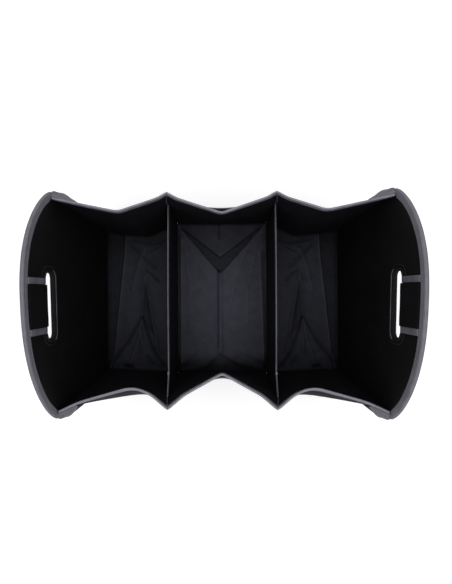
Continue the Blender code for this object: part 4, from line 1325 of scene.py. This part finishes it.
class ORGANIZER_OT_base(OrganizerOperator, bpy.types.Operator):
    """Build the folded nylon base of each bay"""

    bl_idname = "organizer.base"
    bl_label = "Folded Base"

    def build(self, context, sizes):
        """Each base is a grid between the two walls' feet, lifted along its creases."""
        foot = np.array([WALL_FOOT_Z])
        for bay in BAYS:
            back = wall_plan(bay, BACK, foot)[0]
            front = wall_plan(bay, FRONT, foot)[0]
            divider = DIVIDER_X + DIVIDER_SPLAY
            if bay == "middle":
                half = divider - DIVIDER_SHOWN / 2
                x_line = np.linspace(-half, half, 140)
            else:
                x_line = np.linspace(divider + DIVIDER_SHOWN / 2, END_X + GAP, 120)
                if bay == "left":
                    x_line = -x_line[::-1]
            back_y = np.interp(x_line, back[:, 0], back[:, 1]) + BASE_REACH
            front_y = np.interp(x_line, front[:, 0], front[:, 1]) - BASE_REACH
            t = np.linspace(0.0, 1.0, 220)[:, None]
            y = front_y * (1.0 - t) + back_y * t
            x = np.broadcast_to(x_line, y.shape)
            if bay == "middle":
                height, shade = creased(x, y, MIDDLE_CREASES, MIDDLE_AREAS)
                restless = np.zeros_like(x)
            else:
                height, shade = creased(np.abs(x), y, OUTER_CREASES, OUTER_AREAS)
                restless = np.exp(-((np.abs(x) - 0.165) / 0.035) ** 2
                                  - ((y - 0.085) / 0.045) ** 2)
            rim = np.minimum(np.minimum(x - x_line[0], x_line[-1] - x),
                             np.minimum(y - front_y, back_y - y))
            free = ramp(rim, 0.002, 0.02)
            restless = 0.45 + restless + 0.9 * np.exp(-((y + 0.150) / 0.035) ** 2)
            u = np.abs(x)
            height = height + sizes.crumple * free * restless * (
                crumple(u, y, 0.045, 31, 7, 5.0)
                + 0.5 * crumple(u, y, 0.020, 37, 7, 4.0))
            height = np.maximum(height, 0.0) * ramp(rim, -0.001, BASE_MARGIN)
            grid = np.stack([x, y, height], axis=-1)
            top = grid + (0.0, 0.0, BASE_CLOTH)
            cloth = slab("base_cloth_" + bay, top, grid)
            # Painted light and shade of the creases and areas, read by the lining's
            # material
            paint(cloth, "crease_light_and_shade", shade)
            # The outer bases take the darker copy of the nylon, as painted shade
            material = "lining" if bay == "middle" else "outer"
            dress(cloth, material, "base_lining", "base_" + bay)


class ORGANIZER_OT_stage(OrganizerOperator, bpy.types.Operator):
    """Build the pale floor, the soft light and the camera above the organizer"""

    bl_idname = "organizer.stage"
    bl_label = "Stage"

    def build(self, context, sizes):
        corners = np.array([(-1, -1, 0), (1, -1, 0), (1, 1, 0), (-1, 1, 0)], float)
        floor = put_mesh("floor", corners * FLOOR_HALF - (0.0, 0.0, FLOOR_DROP),
                         np.array([[0, 1, 2, 3]]))
        floor.data.materials.append(self.floor_material())
        self.lamp("overhead")
        self.world(context.scene)
        camera = bpy.data.objects.new("camera", bpy.data.cameras.new("camera"))
        context.scene.collection.objects.link(camera)
        camera.location = CAMERA_PLACE
        camera.rotation_euler = (0.0, CAMERA_TILT, CAMERA_ROLL)
        camera.data.lens = CAMERA_LENS
        camera.data.sensor_width = 36.0
        camera.data.shift_x = CAMERA_SHIFT
        camera.data.clip_start = 0.01
        context.scene.camera = camera
        context.scene.view_settings.view_transform = "Standard"

    def floor_material(self):
        """White board: dull, and seen by the camera as white but for the shadows."""
        material = bpy.data.materials.new("floor_card_white")
        material.use_nodes = True
        tree = material.node_tree
        shader = tree.nodes["Principled BSDF"]
        shader.inputs["Base Color"].default_value = linear("#e6e6e6")
        shader.inputs["Roughness"].default_value = 0.9
        path = add_node(material, "LightPath")
        glow = add_node(material, "Emission", {"Color": (1, 1, 1, 1)})
        seen = add_node(material, "Math", {"operation": "MAXIMUM"},
                        {0: path.outputs["Is Camera Ray"],
                         1: path.outputs["Is Glossy Ray"]})
        share = add_node(material, "Math", {"operation": "MULTIPLY", 1: FLOOR_GLOW},
                         {0: seen.outputs["Value"]})
        tree.links.new(share.outputs["Value"], glow.inputs["Strength"])
        both = add_node(material, "AddShader", {},
                        {0: shader.outputs["BSDF"], 1: glow.outputs["Emission"]})
        surface = tree.nodes["Material Output"].inputs["Surface"]
        tree.links.new(both.outputs["Shader"], surface)
        return material

    def lamp(self, name):
        """Square soft box that points down."""
        data = bpy.data.lights.new(name, "AREA")
        data.shape = "SQUARE"
        data.size = LAMP_WIDTH
        data.energy = LAMP_POWER
        item = bpy.data.objects.new(name, data)
        item.location = LAMP_PLACE
        bpy.context.scene.collection.objects.link(item)

    def world(self, scene):
        """Even white surroundings, plain white to the camera."""
        world = bpy.data.worlds.new("surroundings")
        world.use_nodes = True
        scene.world = world
        back = world.node_tree.nodes["Background"]
        back.inputs["Color"].default_value = (1.0, 1.0, 1.0, 1.0)
        path = world.node_tree.nodes.new("ShaderNodeLightPath")
        level = world.node_tree.nodes.new("ShaderNodeMapRange")
        level.inputs["To Min"].default_value = WORLD_LIGHT
        level.inputs["To Max"].default_value = 1.0
        world.node_tree.links.new(path.outputs["Is Camera Ray"], level.inputs["Value"])
        world.node_tree.links.new(level.outputs["Result"], back.inputs["Strength"])


class ORGANIZER_PT_panel(bpy.types.Panel):
    """Panel that lists the organizer's operators, sizes and colours"""

    bl_label = "Boot Organizer"
    bl_idname = "ORGANIZER_PT_panel"
    bl_space_type = "VIEW_3D"
    bl_region_type = "UI"
    bl_category = "Organizer"

    def draw(self, context):
        for operator in OPERATORS:
            self.layout.operator(operator.bl_idname)
        for group in (context.scene.organizer_sizes, context.scene.organizer_colors):
            for name in group.__annotations__:
                self.layout.prop(group, name)


OPERATORS = (
    ORGANIZER_OT_stage,
    ORGANIZER_OT_end_panels,
    ORGANIZER_OT_end_bindings,
    ORGANIZER_OT_grips,
    ORGANIZER_OT_walls,
    ORGANIZER_OT_wings,
    ORGANIZER_OT_rims,
    ORGANIZER_OT_dividers,
    ORGANIZER_OT_pockets,
    ORGANIZER_OT_base,
)
CLASSES = (OrganizerColors, OrganizerSizes, *OPERATORS, ORGANIZER_PT_panel)


def register():
    """Register the classes and the scene's two property groups."""
    for item in CLASSES:
        bpy.utils.register_class(item)
    bpy.types.Scene.organizer_colors = bpy.props.PointerProperty(type=OrganizerColors)
    bpy.types.Scene.organizer_sizes = bpy.props.PointerProperty(type=OrganizerSizes)


def unregister():
    """Undo register."""
    del bpy.types.Scene.organizer_sizes
    del bpy.types.Scene.organizer_colors
    for item in reversed(CLASSES):
        bpy.utils.unregister_class(item)


def main():
    """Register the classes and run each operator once."""
    register()
    for operator in OPERATORS:
        group, name = operator.bl_idname.split(".")
        getattr(getattr(bpy.ops, group), name)()


if __name__ == "__main__":
    main()
